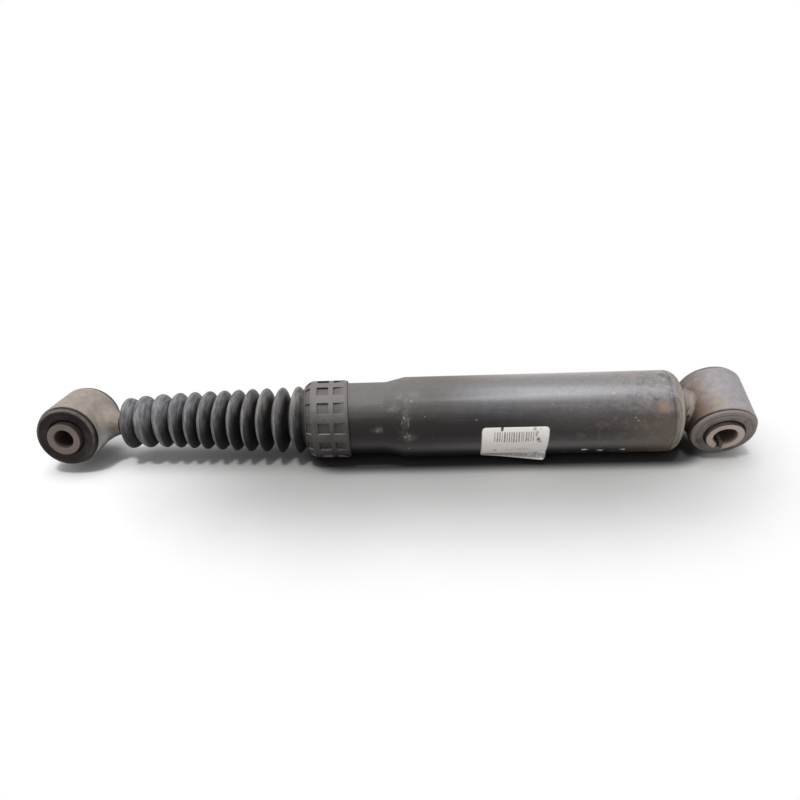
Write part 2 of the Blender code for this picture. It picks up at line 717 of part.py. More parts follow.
def make_collar(axis):
    """Ring over the neck, with a chamfered front and three rows of windows all round."""
    middle_start = collar_face + COLLAR_FRONT_LAND + FRONT_WINDOW + FRONT_RIB
    rear_start = middle_start + MIDDLE_WINDOW + MIDDLE_RIB
    rear_end = rear_start + REAR_WINDOW
    collar_end = rear_end + COLLAR_RIM
    profile = [
        (collar_face, GAITER_TAIL_DIAMETER / 2 + FIT),
        (collar_face, collar_r - COLLAR_CHAMFER),
        (collar_face + COLLAR_CHAMFER_LENGTH, collar_r),
        (rear_end, collar_r),
        (collar_end, collar_r - COLLAR_RIM_TAPER),
        (collar_end, collar_bore_r),
        (collar_face + COLLAR_FACE_WALL, collar_bore_r),
        (collar_face + COLLAR_FACE_WALL, GAITER_TAIL_DIAMETER / 2 + FIT),
    ]
    collar = turned("gaiter_collar", profile, axis, dark_plastic("gaiter_collar"), COLLAR_SEGMENTS)
    windows = bmesh.new()
    deep_r = collar_bore_r - COLLAR_WALL
    top_r = collar_r + COLLAR_WALL
    front_start = collar_face + COLLAR_FRONT_LAND
    for index in range(COLUMNS):
        angle = WINDOW_PHASE + math.tau * index / COLUMNS
        add_sector(windows, front_start, front_start + FRONT_WINDOW, deep_r, deep_r, top_r, angle)
        add_sector(windows, middle_start, middle_start + MIDDLE_WINDOW, deep_r, deep_r, top_r, angle)
        add_sector(windows, rear_start, rear_end, collar_bore_r + COLLAR_WALL / 4, collar_r, top_r, angle)
    carve(collar, place("collar_window_cutter", windows, axis))


def gaiter_crests():
    """Crest points (x, r) on a straight taper, off an even pitch as the rubber has settled."""
    first_x = boss_end + GAITER_SETBACK + GAITER_CUFF_LENGTH + GAITER_FIRST_FACE
    last_x = collar_face - GAITER_LAST_FACE
    first_r = FIRST_CREST_DIAMETER / 2
    last_r = LAST_CREST_DIAMETER / 2
    crests = []
    for index in range(CONVOLUTIONS):
        share = index / (CONVOLUTIONS - 1)
        drift = GAITER_DRIFT * math.sin(math.tau * share) + GAITER_LEAN * math.sin(math.pi * share)
        x = first_x + (last_x - first_x) * share + drift
        crests.append((x, first_r + (last_r - first_r) * share))
    return crests


def make_gaiter(axis):
    """Bellows: a cuff on the rod, lobes from round to sharp, a tail held by the collar, and a bow."""
    crests = gaiter_crests()
    cuff_start = boss_end + GAITER_SETBACK
    cuff_end = cuff_start + GAITER_CUFF_LENGTH
    cuff_r = rod_bore_r + GAITER_CUFF_WALL
    tail_r = GAITER_TAIL_DIAMETER / 2
    valleys = [(cuff_end, cuff_r)]
    for index in range(CONVOLUTIONS - 1):
        share = index / (CONVOLUTIONS - 2)
        valley_diameter = FIRST_VALLEY_DIAMETER + (LAST_VALLEY_DIAMETER - FIRST_VALLEY_DIAMETER) * share
        valleys.append(((crests[index][0] + crests[index + 1][0]) / 2, valley_diameter / 2))
    valleys.append((collar_face - GAITER_TAIL_LENGTH, tail_r))
    lobe_shares = [step / LOBE_STEPS for step in range(1, LOBE_STEPS)]
    outer = [(cuff_start, rod_bore_r), (cuff_start, cuff_r), valleys[0]]
    inner = []
    for index, crest in enumerate(crests):
        sharpness = ROUND_LOBE + (SHARP_LOBE - ROUND_LOBE) * index / (CONVOLUTIONS - 1)
        for share in lobe_shares:
            foot = valleys[index] if share <= 0.5 else valleys[index + 1]
            along = 1.0 - abs(2.0 * share - 1.0)
            form = END_FACE if index == 0 and share < 0.5 else sharpness
            rise = math.sin(math.pi * share) ** form
            outer.append((foot[0] + (crest[0] - foot[0]) * along, foot[1] + (crest[1] - foot[1]) * rise))
        outer.append(valleys[index + 1])
        inner.append((valleys[index][0], valleys[index][1] - GAITER_WALL))
        inner.append((crest[0], crest[1] - GAITER_CREST_WALL))
    flange_start = collar_face + COLLAR_FACE_WALL + FIT
    flange_end = neck_end - FIT
    outer += [
        (flange_start, tail_r),
        (flange_start, tail_r + GAITER_FLANGE),
        (flange_end, tail_r + GAITER_FLANGE),
        (flange_end, tail_r - GAITER_WALL),
        (valleys[-1][0], tail_r - GAITER_WALL),
    ]
    inner[0] = (cuff_end + GAITER_WALL, rod_bore_r)
    bm = bmesh.new()
    spin_profile(bm, outer + inner[::-1], GAITER_SEGMENTS)
    for vertex in bm.verts:
        share = min(max((vertex.co.x - cuff_end) / (collar_face - cuff_end), 0.0), 1.0)
        vertex.co.z += GAITER_BOW * math.sin(math.pi * share ** BOW_SKEW) ** 2
    place("gaiter", bm, axis, rubber("gaiter"))


def clear_scene():
    for old in list(bpy.data.objects):
        bpy.data.objects.remove(old, do_unlink=True)


def build():
    """The whole damper on its axis, which is as high as its lowest pieces reach down."""
    clear_scene()
    axis_height = max(
        tube_r * math.cos(math.pi / SEGMENTS),
        collar_r,
        eye_reach(UPPER_SLEEVE_DIAMETER, UPPER_EYE_TIP),
        eye_reach(LOWER_SLEEVE_DIAMETER, LOWER_EYE_TIP),
    )
    quarter = math.pi / 2
    body_axis = pivot("body_axis", (0.0, 0.0, axis_height))
    rod_axis = pivot("rod_axis", (0.0, 0.0, 0.0), body_axis)
    upper_axis = pivot("upper_eye_axis", (upper_eye_x, 0.0, 0.0), rod_axis, (UPPER_EYE_TIP, 0.0, -quarter))
    lower_axis = pivot("lower_eye_axis", (lower_eye_x, 0.0, 0.0), body_axis, (LOWER_EYE_TIP, 0.0, -quarter))

    make_reserve_tube(body_axis)
    make_base_cap(body_axis)
    ring("pressure_tube", guide_flange_end + FIT, valve_flange_start - FIT, pressure_bore_r, pressure_r,
         body_axis, plain_steel("pressure_tube"))
    make_seal_stack(body_axis)
    make_base_valve(body_axis)
    make_collar(body_axis)
    make_gaiter(body_axis)
    make_rod(rod_axis)
    make_piston(rod_axis)
    upper_boss = (eye_r + UPPER_BOSS_LENGTH, UPPER_BOSS_ROOT / 2, UPPER_BOSS_DIAMETER / 2, quarter)
    make_eye("upper", upper_axis, upper_boss, UPPER_SLEEVE_DIAMETER, UPPER_BOLT_BORE)
    stem_r = LOWER_STEM_DIAMETER / 2
    lower_stem = (eye_r + LOWER_STEM_LENGTH - FIT, stem_r, stem_r, -quarter)
    lower_sleeve = make_eye("lower", lower_axis, lower_stem, LOWER_SLEEVE_DIAMETER, LOWER_BOLT_BORE)
    seam = bmesh.new()
    add_block(seam, (0.0, LOWER_SLEEVE_DIAMETER / 2, 0.0),
              (2 * SLEEVE_LENGTH, LOWER_SLEEVE_DIAMETER, SEAM_WIDTH), SEAM_ANGLE)
    carve(lower_sleeve, place("lower_seam_cutter", seam, lower_axis))


build()
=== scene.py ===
# %% [markdown]
# # A used rear shock absorber
# The solids of this damper are already packed: they have the right sizes, joints and bodies, but
# plain colours and flat facets. This lesson dresses them. It loads the solids as a fixed frame,
# sets up the camera, writes one finish for each real surface, makes a finer mesh for each piece
# that shows, and lights it at the end. Every new piece takes its place from the frame, so
# everything still moves with its body.

# %% The frame
import json
from math import asin, copysign, cos, hypot, pi, radians, sin, sqrt, tan, tau

import bmesh
import bpy
from mathutils import Matrix, Vector, noise


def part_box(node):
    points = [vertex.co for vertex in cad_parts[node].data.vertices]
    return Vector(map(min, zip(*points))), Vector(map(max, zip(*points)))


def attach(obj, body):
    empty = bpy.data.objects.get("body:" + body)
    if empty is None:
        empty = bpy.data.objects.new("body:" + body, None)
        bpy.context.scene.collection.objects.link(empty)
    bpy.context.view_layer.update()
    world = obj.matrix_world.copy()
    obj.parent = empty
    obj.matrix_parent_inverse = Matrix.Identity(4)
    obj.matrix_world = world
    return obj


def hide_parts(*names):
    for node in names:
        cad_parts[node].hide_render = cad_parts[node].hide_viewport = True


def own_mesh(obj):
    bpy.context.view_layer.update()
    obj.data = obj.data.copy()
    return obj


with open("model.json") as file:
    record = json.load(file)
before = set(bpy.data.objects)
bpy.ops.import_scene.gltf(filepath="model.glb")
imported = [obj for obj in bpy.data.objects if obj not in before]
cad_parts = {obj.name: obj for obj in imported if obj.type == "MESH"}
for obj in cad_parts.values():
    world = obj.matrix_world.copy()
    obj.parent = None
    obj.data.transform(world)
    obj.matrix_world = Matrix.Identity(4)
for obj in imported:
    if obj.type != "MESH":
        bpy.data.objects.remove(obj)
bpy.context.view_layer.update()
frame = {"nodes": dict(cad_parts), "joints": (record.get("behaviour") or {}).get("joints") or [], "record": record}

scene = bpy.context.scene


def add_object(name, data):
    """An object in the scene for a camera, a mesh or a lamp."""
    made = bpy.data.objects.new(name, data)
    scene.collection.objects.link(made)
    return made


# %% [markdown]
# ## Where things are
# The damper lies along X and its axis runs at one height. That height, the eyes' centres and the
# directions of their bolts could be typed in again, but the frame knows them: the tube's box gives
# the height, and the twist joints of the two sleeves give the bolts. Sizes below are in metres, so
# a short name for the millimetre keeps them easy to read.

# %% Axis, eyes and the millimetre
MM = 0.001
tube_low, tube_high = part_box("reserve_tube")
axis_z = (tube_low.z + tube_high.z) / 2
joint = {entry["name"]: entry for entry in frame["joints"]}
damper_axis = Matrix.Translation((0, 0, axis_z))


def bolt_place(joint_name):
    """Matrix of an eye: local X runs out of its front, local Y along the damper, local Z up."""
    front = Vector(joint[joint_name]["axis"]).normalized()
    along = Vector((1, 0, 0))
    turn = Matrix((front, along, front.cross(along))).transposed().to_4x4()
    return Matrix.Translation(joint[joint_name]["pos_m"]) @ turn


upper_bolt = bolt_place("upper_bush_twist")
lower_bolt = bolt_place("lower_bush_twist")

# %% [markdown]
# ## Camera
# The photograph was taken from above the front, a little to the right, with a slight roll. A fit of
# the damper's outlines gives the place and the three angles. Rather than set Euler angles in the
# hope that their order is right, the camera's three axes are built as vectors and put into its matrix.

# %% Camera
PHOTO_PIXELS, FOCAL_PIXELS, SENSOR = 800, 690, 36
CAMERA_X, CAMERA_Y, CAMERA_RISE = 0.0319, -0.3875, 0.201
yaw, pitch, roll = radians(-3.61), radians(25.95), radians(3.07)
ahead = Vector((sin(yaw) * cos(pitch), cos(yaw) * cos(pitch), -sin(pitch)))
level = Vector((cos(yaw), -sin(yaw), 0))
below = ahead.cross(level)
right = level * cos(roll) + below * sin(roll)
down = below * cos(roll) - level * sin(roll)
camera_data = bpy.data.cameras.new("photo_camera")
camera_data.sensor_width = SENSOR
camera_data.lens = SENSOR * FOCAL_PIXELS / PHOTO_PIXELS
camera = add_object("photo_camera", camera_data)
camera.matrix_world = (
    Matrix.Translation((CAMERA_X, CAMERA_Y, CAMERA_RISE + axis_z))
    @ Matrix((right, -down, -ahead)).transposed().to_4x4()
)
scene.camera = camera
scene.view_settings.view_transform = "Standard"
print("lens", round(camera_data.lens, 2), "mm")

# %% [markdown]
# ## Shader maths
# A worn surface is a stack of masks, and masks are sums and products. Wiring each Math node by hand
# hides the idea, so one small class wraps a socket: adding or multiplying two of them adds the node.
# Any other node comes from its one method, which takes the node's type, its settings and its sockets.

# %% A socket that can be calculated with
class Field:
    """A value that varies over a surface: an output socket in a node tree."""

    def __init__(self, socket):
        self.socket = socket

    def node(self, kind, settings=None, sockets=None, output=0):
        tree = self.socket.id_data
        made = tree.nodes.new("ShaderNode" + kind)
        for name, value in (settings or {}).items():
            setattr(made, name, value)
        for name, value in (sockets or {}).items():
            if isinstance(value, Field):
                tree.links.new(value.socket, made.inputs[name])
            else:
                made.inputs[name].default_value = value
        return Field(made.outputs[output])

    def math(self, operation, first, second=0):
        return self.node("Math", {"operation": operation}, {0: first, 1: second})

    def __add__(self, other):
        return self.math("ADD", self, other)

    def __sub__(self, other):
        return self.math("SUBTRACT", self, other)

    def __rsub__(self, other):
        return self.math("SUBTRACT", other, self)

    def __mul__(self, other):
        return self.math("MULTIPLY", self, other)

    def __pow__(self, other):
        return self.math("POWER", self, other)

    def __abs__(self):
        return self.math("ABSOLUTE", self)

    __radd__ = __add__
    __rmul__ = __mul__


# %% [markdown]
# ## Words for surfaces
# All finishes use the same few words. The texture space is the object's own: the pieces are made in
# place, so a noise with a scale of 1000 has grains of about a millimetre, and it stays on the piece
# when it moves. `step` is a soft threshold, `grain` a noise that may be stretched into scratches,
# `sway` makes that noise swing about zero, `mix` lays one colour over another, and `coats` does so
# several times. `apart` splits a vector into its three numbers and `together` joins them.

# %% Helpers for masks
def new_finish(name):
    """A material, and the Field of places in its object."""
    material = bpy.data.materials.new(name)
    material.use_nodes = True
    return material, Field(material.node_tree.nodes.new("ShaderNodeTexCoord").outputs["Object"])


def apart(vector):
    split = vector.node("SeparateXYZ", None, {0: vector}).socket.node
    return [Field(number) for number in split.outputs]


def together(x, y=0, z=0):
    return x.node("CombineXYZ", None, {0: x, 1: y, 2: z})


def vector_math(operation, vector, value=(0, 0, 0)):
    """Vector Math node: results that are one number come out of its second socket."""
    output = int(operation in ("LENGTH", "DISTANCE", "DOT_PRODUCT"))
    return vector.node("VectorMath", {"operation": operation}, {0: vector, 1: value}, output)


def normal(place):
    """How far the surface faces along X, away from the front, and up, in the object's own frame."""
    return apart(place.node("TexCoord", None, None, "Normal"))


def grain(place, scale, detail=4, rough=0.55, stretch=None):
    vector = vector_math("MULTIPLY", place, stretch) if stretch else place
    sockets = {"Vector": vector, "Scale": scale, "Detail": detail, "Roughness": rough}
    return place.node("TexNoise", None, sockets)


def sway(field, reach):
    return (field - 0.5) * reach


def step(field, low, high, first=0, last=1):
    sockets = {0: field, 1: low, 2: high, 3: first, 4: last}
    return field.node("MapRange", {"interpolation_type": "SMOOTHSTEP"}, sockets)


def bell(field, centre, width):
    """1 at the centre, falling to 0 at the width on each side."""
    return step(abs(field - centre), width, 0)


def most(*fields):
    """The largest of several masks at each point."""
    top = fields[0]
    for field in fields[1:]:
        top = top.math("MAXIMUM", top, field)
    return top


# %% Helpers for colours
def mix(share, under, over):
    """One colour over another. A plain colour is (red, green, blue)."""
    under, over = (tone if isinstance(tone, Field) else (*tone, 1) for tone in (under, over))
    return share.node("Mix", {"data_type": "RGBA"}, {0: share, 6: under, 7: over}, 2)


def coats(colour, *layers):
    """Lay (share, colour) layers over a colour, one after another."""
    for share, over in layers:
        colour = mix(share, colour, over)
    return colour


def complete(material, colour, roughness, metallic=0, height=None, depth=0.1 * MM,
             specular=0.5, coat=0):
    """Feed a Principled shader: what varies is linked, and what doesn't is set on its socket."""
    tree = material.node_tree
    shader = tree.nodes["Principled BSDF"]
    shader.inputs["Specular IOR Level"].default_value = specular
    shader.inputs["Coat Roughness"].default_value = 0.24
    for name, value in (("Base Color", colour), ("Roughness", roughness), ("Metallic", metallic),
                        ("Coat Weight", coat)):
        if isinstance(value, Field):
            tree.links.new(value.socket, shader.inputs[name])
        else:
            shader.inputs[name].default_value = value
    if height is not None:
        bump = height.node("Bump", None, {"Height": height, "Distance": depth, "Strength": 1})
        tree.links.new(bump.socket, shader.inputs["Normal"])
    print("finish:", material.name, len(tree.nodes), "nodes")
    return material


# %% [markdown]
# ## Round the axis
# Wear on a round piece is easiest to place on the sheet that it would unroll to: X along the axis, and
# the length of arc from the front. A mark is then an ellipse on that sheet, with its edge broken by
# noise. An image could hold the same marks, but it would be fixed to one size.

# %% Unrolled places and marks
TUBE_R = 25.3 * MM


def round_axis(place):
    """X, distance from the axis, and angle above the front in radians."""
    x, y, z = apart(place)
    rise = z - axis_z
    return x, (rise ** 2 + y ** 2) ** 0.5, place.math("ARCTAN2", rise, y * -1)


def spot(sheet, ragged, x, y, half_x, half_y, core):
    """An ellipse on a flat sheet, with ragged edges, from its centre and half sizes."""
    away = vector_math("SUBTRACT", sheet, (x, y, 0))
    away = vector_math("MULTIPLY", away, (1 / half_x, 1 / half_y, 0))
    return step(vector_math("LENGTH", away) + ragged, 1, core)


def marks(sheet, ragged, places, core=0.4):
    """Spots on the unrolled tube, each (x, degrees above the front, half length, half width)."""
    return most(*[spot(sheet, ragged, x * MM, radians(degrees) * TUBE_R, half_x * MM,
                       half_turn * MM, core)
                  for x, degrees, half_x, half_turn in places])


# %% [markdown]
# ## Worn black paint
# The tube is dipped in satin black. Years under a car have left a thin grey layer of dirt on top,
# which also stands in for the light that falls there, fine flecks and scratches, brown stains, and
# pale chips and scuffs where the cone's edge wore against things. Near the lower end the paint creeps
# off and ochre rust shows, and beyond the rolled groove the steel is nearly bare. What gloss is left
# shows along the top and below. Painted into the colour as well are a highlight band along the upper
# side, a reflection of the pale table low on the front, three glints underneath, a highlight on the
# cone's top edge, and shade in the groove. General wear is noise with a threshold, and the few marks
# that anyone would notice are single ellipses.

# %% Worn black paint
CHIPS = [(15.4, 49, 0.7, 0.6), (10.7, 26, 0.7, 0.9), (13.1, 18, 0.25, 3.6), (9.4, 20, 0.25, 1.2),
         (10.9, -1, 0.9, 0.5), (13.6, 1, 0.6, 0.5), (12.8, -22, 0.9, 0.6), (23.2, 27, 0.6, 0.4),
         (54, 21, 1, 0.4), (121.8, 90, 1.1, 0.8), (135, 53, 1.1, 0.9), (166, 75, 1.4, 0.7),
         (168.4, 51, 0.9, 0.9), (146.6, 19, 0.8, 0.4), (148.2, 15, 0.6, 0.5)]
# The scuff at 97 degrees, on the top edge of the cone, is a painted highlight.
SCUFFS = [(7.5, 57, 7.5, 6.5), (16.5, 60, 6, 5), (11.8, 28, 4.2, 11), (12.5, -1, 8, 5.5),
          (12, 97, 7.5, 3), (4.5, 40, 7, 4), (-5, 8, 5, 4)]
# Painted glints low on the tube, where small dents would catch the light.
UNDER_GLINTS = [(118.9, -35, 2.3, 1.2), (128.8, -38, 2.3, 1.2), (141.9, -37, 2.1, 1.1)]
OCHRE_RUST = [(163.4, 32, 7.2, 5)]


def worn_black_paint():
    material, place = new_finish("worn_black_paint")
    x, _, turn = round_axis(place)
    sheet = together(x, turn * TUBE_R)
    height = normal(place)[2]
    cloud = grain(place, 40, 5)
    patch = grain(place, 120, 4, 0.62)
    mottle = grain(place, 260, 5, 0.65)
    speck = grain(place, 950, 3, 0.6)
    streak = grain(place, 1, 4, 0.6, (24, 420, 420))
    wiped = grain(place, 1, 4, 0.65, (1500, 120, 120))
    along = step(grain(place, 1, 4, 0.6, (45, 1500, 1500)), 0.66, 0.73)
    around = step(grain(place, 1, 3, 0.6, (2100, 60, 60)), 0.69, 0.76)
    scratch = most(along, around * 0.7)
    ragged, crumbs = sway(mottle, 2.6), sway(speck, 2.6)

    # Where along and around the tube things happen
    upper = step(height, 0.3, 0.72)
    low = step(height + sway(cloud, 0.5), 0.58, 0.05)
    haze = step(x + sway(cloud, 30 * MM), 50 * MM, 120 * MM)
    base_end = step(x + sway(cloud, 34 * MM), 118 * MM, 170 * MM)
    warm = most(step(x, 66 * MM, 18 * MM), step(turn, radians(66), radians(84)))
    fleck = upper * step(x, 45 * MM, 130 * MM, 0.15, 1)
    groove = bell(x, 169.5 * MM, 1.2 * MM)
    rim = step(x + sway(speck, 1.2 * MM), 170.4 * MM, 171.6 * MM)

    # What happens there
    # Dust settles on top, and this layer also paints light there: the upper side is made paler where the light
    # falls.
    dust_film_and_top_light = step(height + sway(cloud, 0.16) + sway(streak, 0.22), 0.2, 1.02) ** 1.25
    dust_film_and_top_light = dust_film_and_top_light * step(mottle, 0.2, 0.8, 0.82, 1) * (1 - bell(x, 38 * MM, 30 * MM) * 0.12)
    stain = step(x, 80 * MM, 125 * MM) * step(patch * 0.45 + mottle * 0.55, 0.5, 0.6)
    rust = base_end * low * step(mottle * 0.6 + cloud * 0.6, 0.54, 0.74)
    ochre = marks(sheet, ragged, OCHRE_RUST, 0.1)
    scuff = marks(sheet, ragged, SCUFFS, -0.9)
    chip = most(marks(sheet, crumbs, CHIPS),
                step(speck + bell(x, 11 * MM, 8 * MM) * 0.05 + base_end * 0.075, 0.73, 0.79))
    under_glint = marks(sheet, crumbs, UNDER_GLINTS)
    bared = bell(x, 176 * MM, 3.6 * MM) * step(height, 0.85, 0.45)
    bared = bared * step(wiped, 0.3, 0.6, 0.25, 1)
    worn = most(rust, ochre, rim, base_end * 0.5)

    colour = coats(
        mix(mottle, (0.0095, 0.0072, 0.0072), (0.0185, 0.0145, 0.0142)),
        (haze * step(height, -0.35, 0.75, 0.08, 0.36) * (1 - base_end * 0.3), (0.15, 0.134, 0.132)),
        # Painted reflection: beyond the warm places the layer takes a cool tint, standing for the bluish light
        # above shining back.
        (dust_film_and_top_light, mix(warm, (0.205, 0.203, 0.218), (0.172, 0.16, 0.151))),
        # Painted reflection of the bright table, as a pale band low on the front.
        (bell(height, -0.36, 0.22) * step(x, -40 * MM, 90 * MM, 0.16, 0.52), (0.17, 0.157, 0.155)),
        (base_end * upper * step(patch * 0.6 + mottle * 0.4, 0.43, 0.57, 0.02, 0.84),
         mix(mottle, (0.165, 0.136, 0.127), (0.3, 0.266, 0.257))),
        (base_end * upper * step(patch * 0.5 + mottle * 0.5, 0.49, 0.37) * 0.62, (0.055, 0.045, 0.042)),
        # Painted highlight: a pale band along the upper side, where the overhead light shines back.
        (bell(height, 0.81, 0.16) * haze * 0.28, (0.36, 0.345, 0.358)),
        (fleck * step(speck, 0.56, 0.68) * 0.26, (0.42, 0.4, 0.395)),
        (fleck * step(speck * 0.6 + mottle * 0.4, 0.44, 0.34) * 0.4, (0.06, 0.054, 0.054)),
        (scratch * 0.18, (0.19, 0.185, 0.185)),
        (base_end * low * 0.62, mix(patch, (0.105, 0.084, 0.068), (0.195, 0.161, 0.132))),
        (stain * step(height, 0.95, 0.55) * 0.16, (0.205, 0.174, 0.154)),
        (rust * 0.45, mix(mottle, (0.07, 0.044, 0.028), (0.185, 0.13, 0.084))),
        (ochre * 0.75, mix(mottle, (0.2, 0.125, 0.076), (0.4, 0.275, 0.185))),
        (rim * step(mottle, 0.25, 0.7, 0.55, 0.9),
         mix(step(wiped, 0.3, 0.7), (0.105, 0.086, 0.073), (0.38, 0.328, 0.29))),
        (bared * 0.78, (0.6, 0.55, 0.508)),
        # Painted shade: the rolled groove is darkened to a bluish near-black, more towards the top.
        (groove * step(height, 0.1, 0.6, 0.05, 0.48), (0.034, 0.037, 0.043)),
        (scuff * step(speck, 0.32, 0.68, 0.24, 0.7), (0.345, 0.322, 0.305)),
        (chip * 0.7, (0.36, 0.338, 0.32)),
        # Painted glints: near-white spots low on the tube.
        (under_glint, (0.85, 0.84, 0.83)),
    )
    roughness = 0.34 + mottle * 0.08 + dust_film_and_top_light * 0.1 + worn * 0.22 + step(x, 85 * MM, 20 * MM) * 0.18
    relief = speck * 0.1 + mottle * 0.16 + rust * 0.45 + ochre * 0.4 - chip * 0.4 - scratch * 0.2
    gloss = most(step(height, 0.66, 0.84) * step(x, 25 * MM, 95 * MM, 0.05, 1),
                 step(height, 0.04, -0.18) * step(x, 0, 90 * MM, 0.45, 0.95)) * (1 - worn * 0.8)
    return complete(material, colour, roughness, bared * 0.75, relief, 0.1 * MM, 0.26, gloss)


black_paint = worn_black_paint()

# %% [markdown]
# ## Weathered steel
# The eyes and their welds are bare or thinly plated steel that has gone dull: taupe dust over grey,
# with brown rust in the corners. Painted shade darkens what faces down and the underside of each
# corner, and a painted highlight lies near the front rim of the upper eye. A metal shader with a
# rough, patchy metallic value gives the dull sheen, and noises of different size keep the patches
# from looking like one pattern.

# %% Weathered steel
def weathered_steel(name, middle, pale, cool, brown, brown_share, corner, shade, highlight_spot=None):
    """Dull steel, browner on the left of its middle. Dirt spreads from a corner, given as its
    centre, reach and darkness, with painted shade under it; painted shade also darkens what
    faces down past the heights in shade, and one spot may carry a painted highlight."""
    material, place = new_finish(name)
    centre, reach, dark = corner
    x = apart(place)[0]
    height = normal(place)[2]
    cloud = grain(place, 55, 4, 0.6)
    blotch = grain(place, 95, 3, 0.55)
    tint = grain(vector_math("ADD", place, (0.31, 0.17, 0.53)), 75, 3, 0.55)
    patch = grain(place, 230, 5, 0.62)
    pit = grain(place, 1100, 3, 0.6)
    scrape = grain(place, 1, 3, 0.6, (900, 90, 900))
    near = step(vector_math("DISTANCE", place, centre) + sway(cloud, 16 * MM), reach, reach * 0.45)
    dust = step(height + cloud * 0.6, 0.25, 1.2) * step(x - middle, -10 * MM, 8 * MM, 0.45, 1)
    underside_shade = step(height + sway(cloud, 0.4), *shade)
    rust = step(patch * 0.7 + cloud * 0.5 + near * 0.2, 0.76, 0.92) * brown_share
    colour = coats(
        mix(step(x - middle + sway(blotch, 44 * MM), -9 * MM, 9 * MM), brown, cool),
        (dust * step(patch, 0.2, 0.8, 0.35, 0.75), pale),
        (step(tint, 0.54, 0.66) * 0.38, (0.33, 0.265, 0.185)),
        (step(tint, 0.46, 0.34) * 0.5, cool),
        (step(patch, 0.62, 0.3) * 0.22, (0.125, 0.105, 0.092)),
        (near * (0.8 * dark), mix(patch, (0.085, 0.052, 0.036), (0.235, 0.15, 0.102))),
        (rust, mix(patch, (0.085, 0.045, 0.028), (0.27, 0.155, 0.085))),
        (step(pit, 0.64, 0.74) * 0.5, (0.07, 0.06, 0.055)),
        (step(scrape, 0.68, 0.76) * 0.3, (0.42, 0.39, 0.37)),
        # Painted shade: near black-brown on what faces down past the shade heights, and below the corner.
        (most(underside_shade * 0.88, near * step(height, 0.8, 0.2) * dark), (0.022, 0.015, 0.012)),
    )
    if highlight_spot is not None:
        # Painted highlight: a pale patch round one spot.
        away = vector_math("DISTANCE", place, highlight_spot) + sway(patch, 16 * MM)
        colour = mix(step(away, 9 * MM, 2 * MM) * 0.6, colour, (0.47, 0.45, 0.435))
    metallic = step(patch, 0.35, 0.75, 0.3, 0.08) * (1 - most(rust, near, underside_shade))
    roughness = 0.52 + patch * 0.18 + dust * 0.1
    relief = pit * 0.35 + patch * 0.4 + most(rust, near * 0.6) * pit
    return complete(material, colour, roughness, metallic, relief, 0.18 * MM, 0.35)


upper_place, lower_place = upper_bolt.translation, lower_bolt.translation
# The corners below carry painted shade under them, and the upper eye's last point places a painted highlight near
# its front rim.
upper_steel = weathered_steel(
    "upper_eye_steel", upper_place.x - 4 * MM, (0.405, 0.333, 0.282), (0.285, 0.272, 0.25),
    (0.312, 0.238, 0.204), 0.45, (upper_place + Vector((0.0275, -0.004, 0.001)), 10 * MM, 0.35),
    (-0.1, -0.75), upper_bolt @ Vector((0.0125, 0.0185, -0.006)))
lower_steel = weathered_steel(
    "lower_eye_steel", lower_place.x - 9 * MM, (0.335, 0.315, 0.317), (0.3, 0.289, 0.305),
    (0.19, 0.132, 0.093), 0.6, (lower_place + Vector((-0.0205, -0.013, -0.003)), 22.5 * MM, 0.95),
    (-0.2, -0.8))
weld_steel = weathered_steel(
    "weld_bead_steel", 0.2, (0.33, 0.286, 0.26), (0.255, 0.222, 0.203),
    (0.25, 0.205, 0.178), 0.3, (Vector((0.187, 0, axis_z - 0.013)), 10 * MM, 0.9), (0.42, 0.02))
base_steel = weathered_steel(
    "base_cap_steel", 0.19, (0.34, 0.305, 0.275), (0.16, 0.146, 0.135),
    (0.19, 0.15, 0.122), 0.7, (Vector((0.18, 0, axis_z - 0.014)), 14 * MM, 0.88), (0.05, -0.5))

# %% [markdown]
# ## Rubber of the bushes
# Bonded rubber is nearly black and brownish, with a soft gloss on its rounded lip and a pale highlight
# painted along the lip's top, in the colour of its dust. Dust lies in the hollow round the sleeve and
# on what faces up; the lower bush, nearer the road, is grey with it. Two finishes from one function
# differ in how much dust there is and how much they shine. Painted shade keeps the rubber black in
# the groove round the sleeve and in the gap at the edge of the eye.

# %% Bush rubber
UPPER_SLEEVE_R, UPPER_BORE_R = 10.5 * MM, 6.1 * MM
LOWER_SLEEVE_R, LOWER_BORE_R = 11.1 * MM, 7.1 * MM


def along_bolt(place, bolt):
    """Distance out along an eye's bolt, and away from it, at each place."""
    away = vector_math("SUBTRACT", place, bolt.translation)
    out = vector_math("DOT_PRODUCT", away, bolt.to_3x3().col[0])
    return out, (vector_math("LENGTH", away) ** 2 - out ** 2) ** 0.5


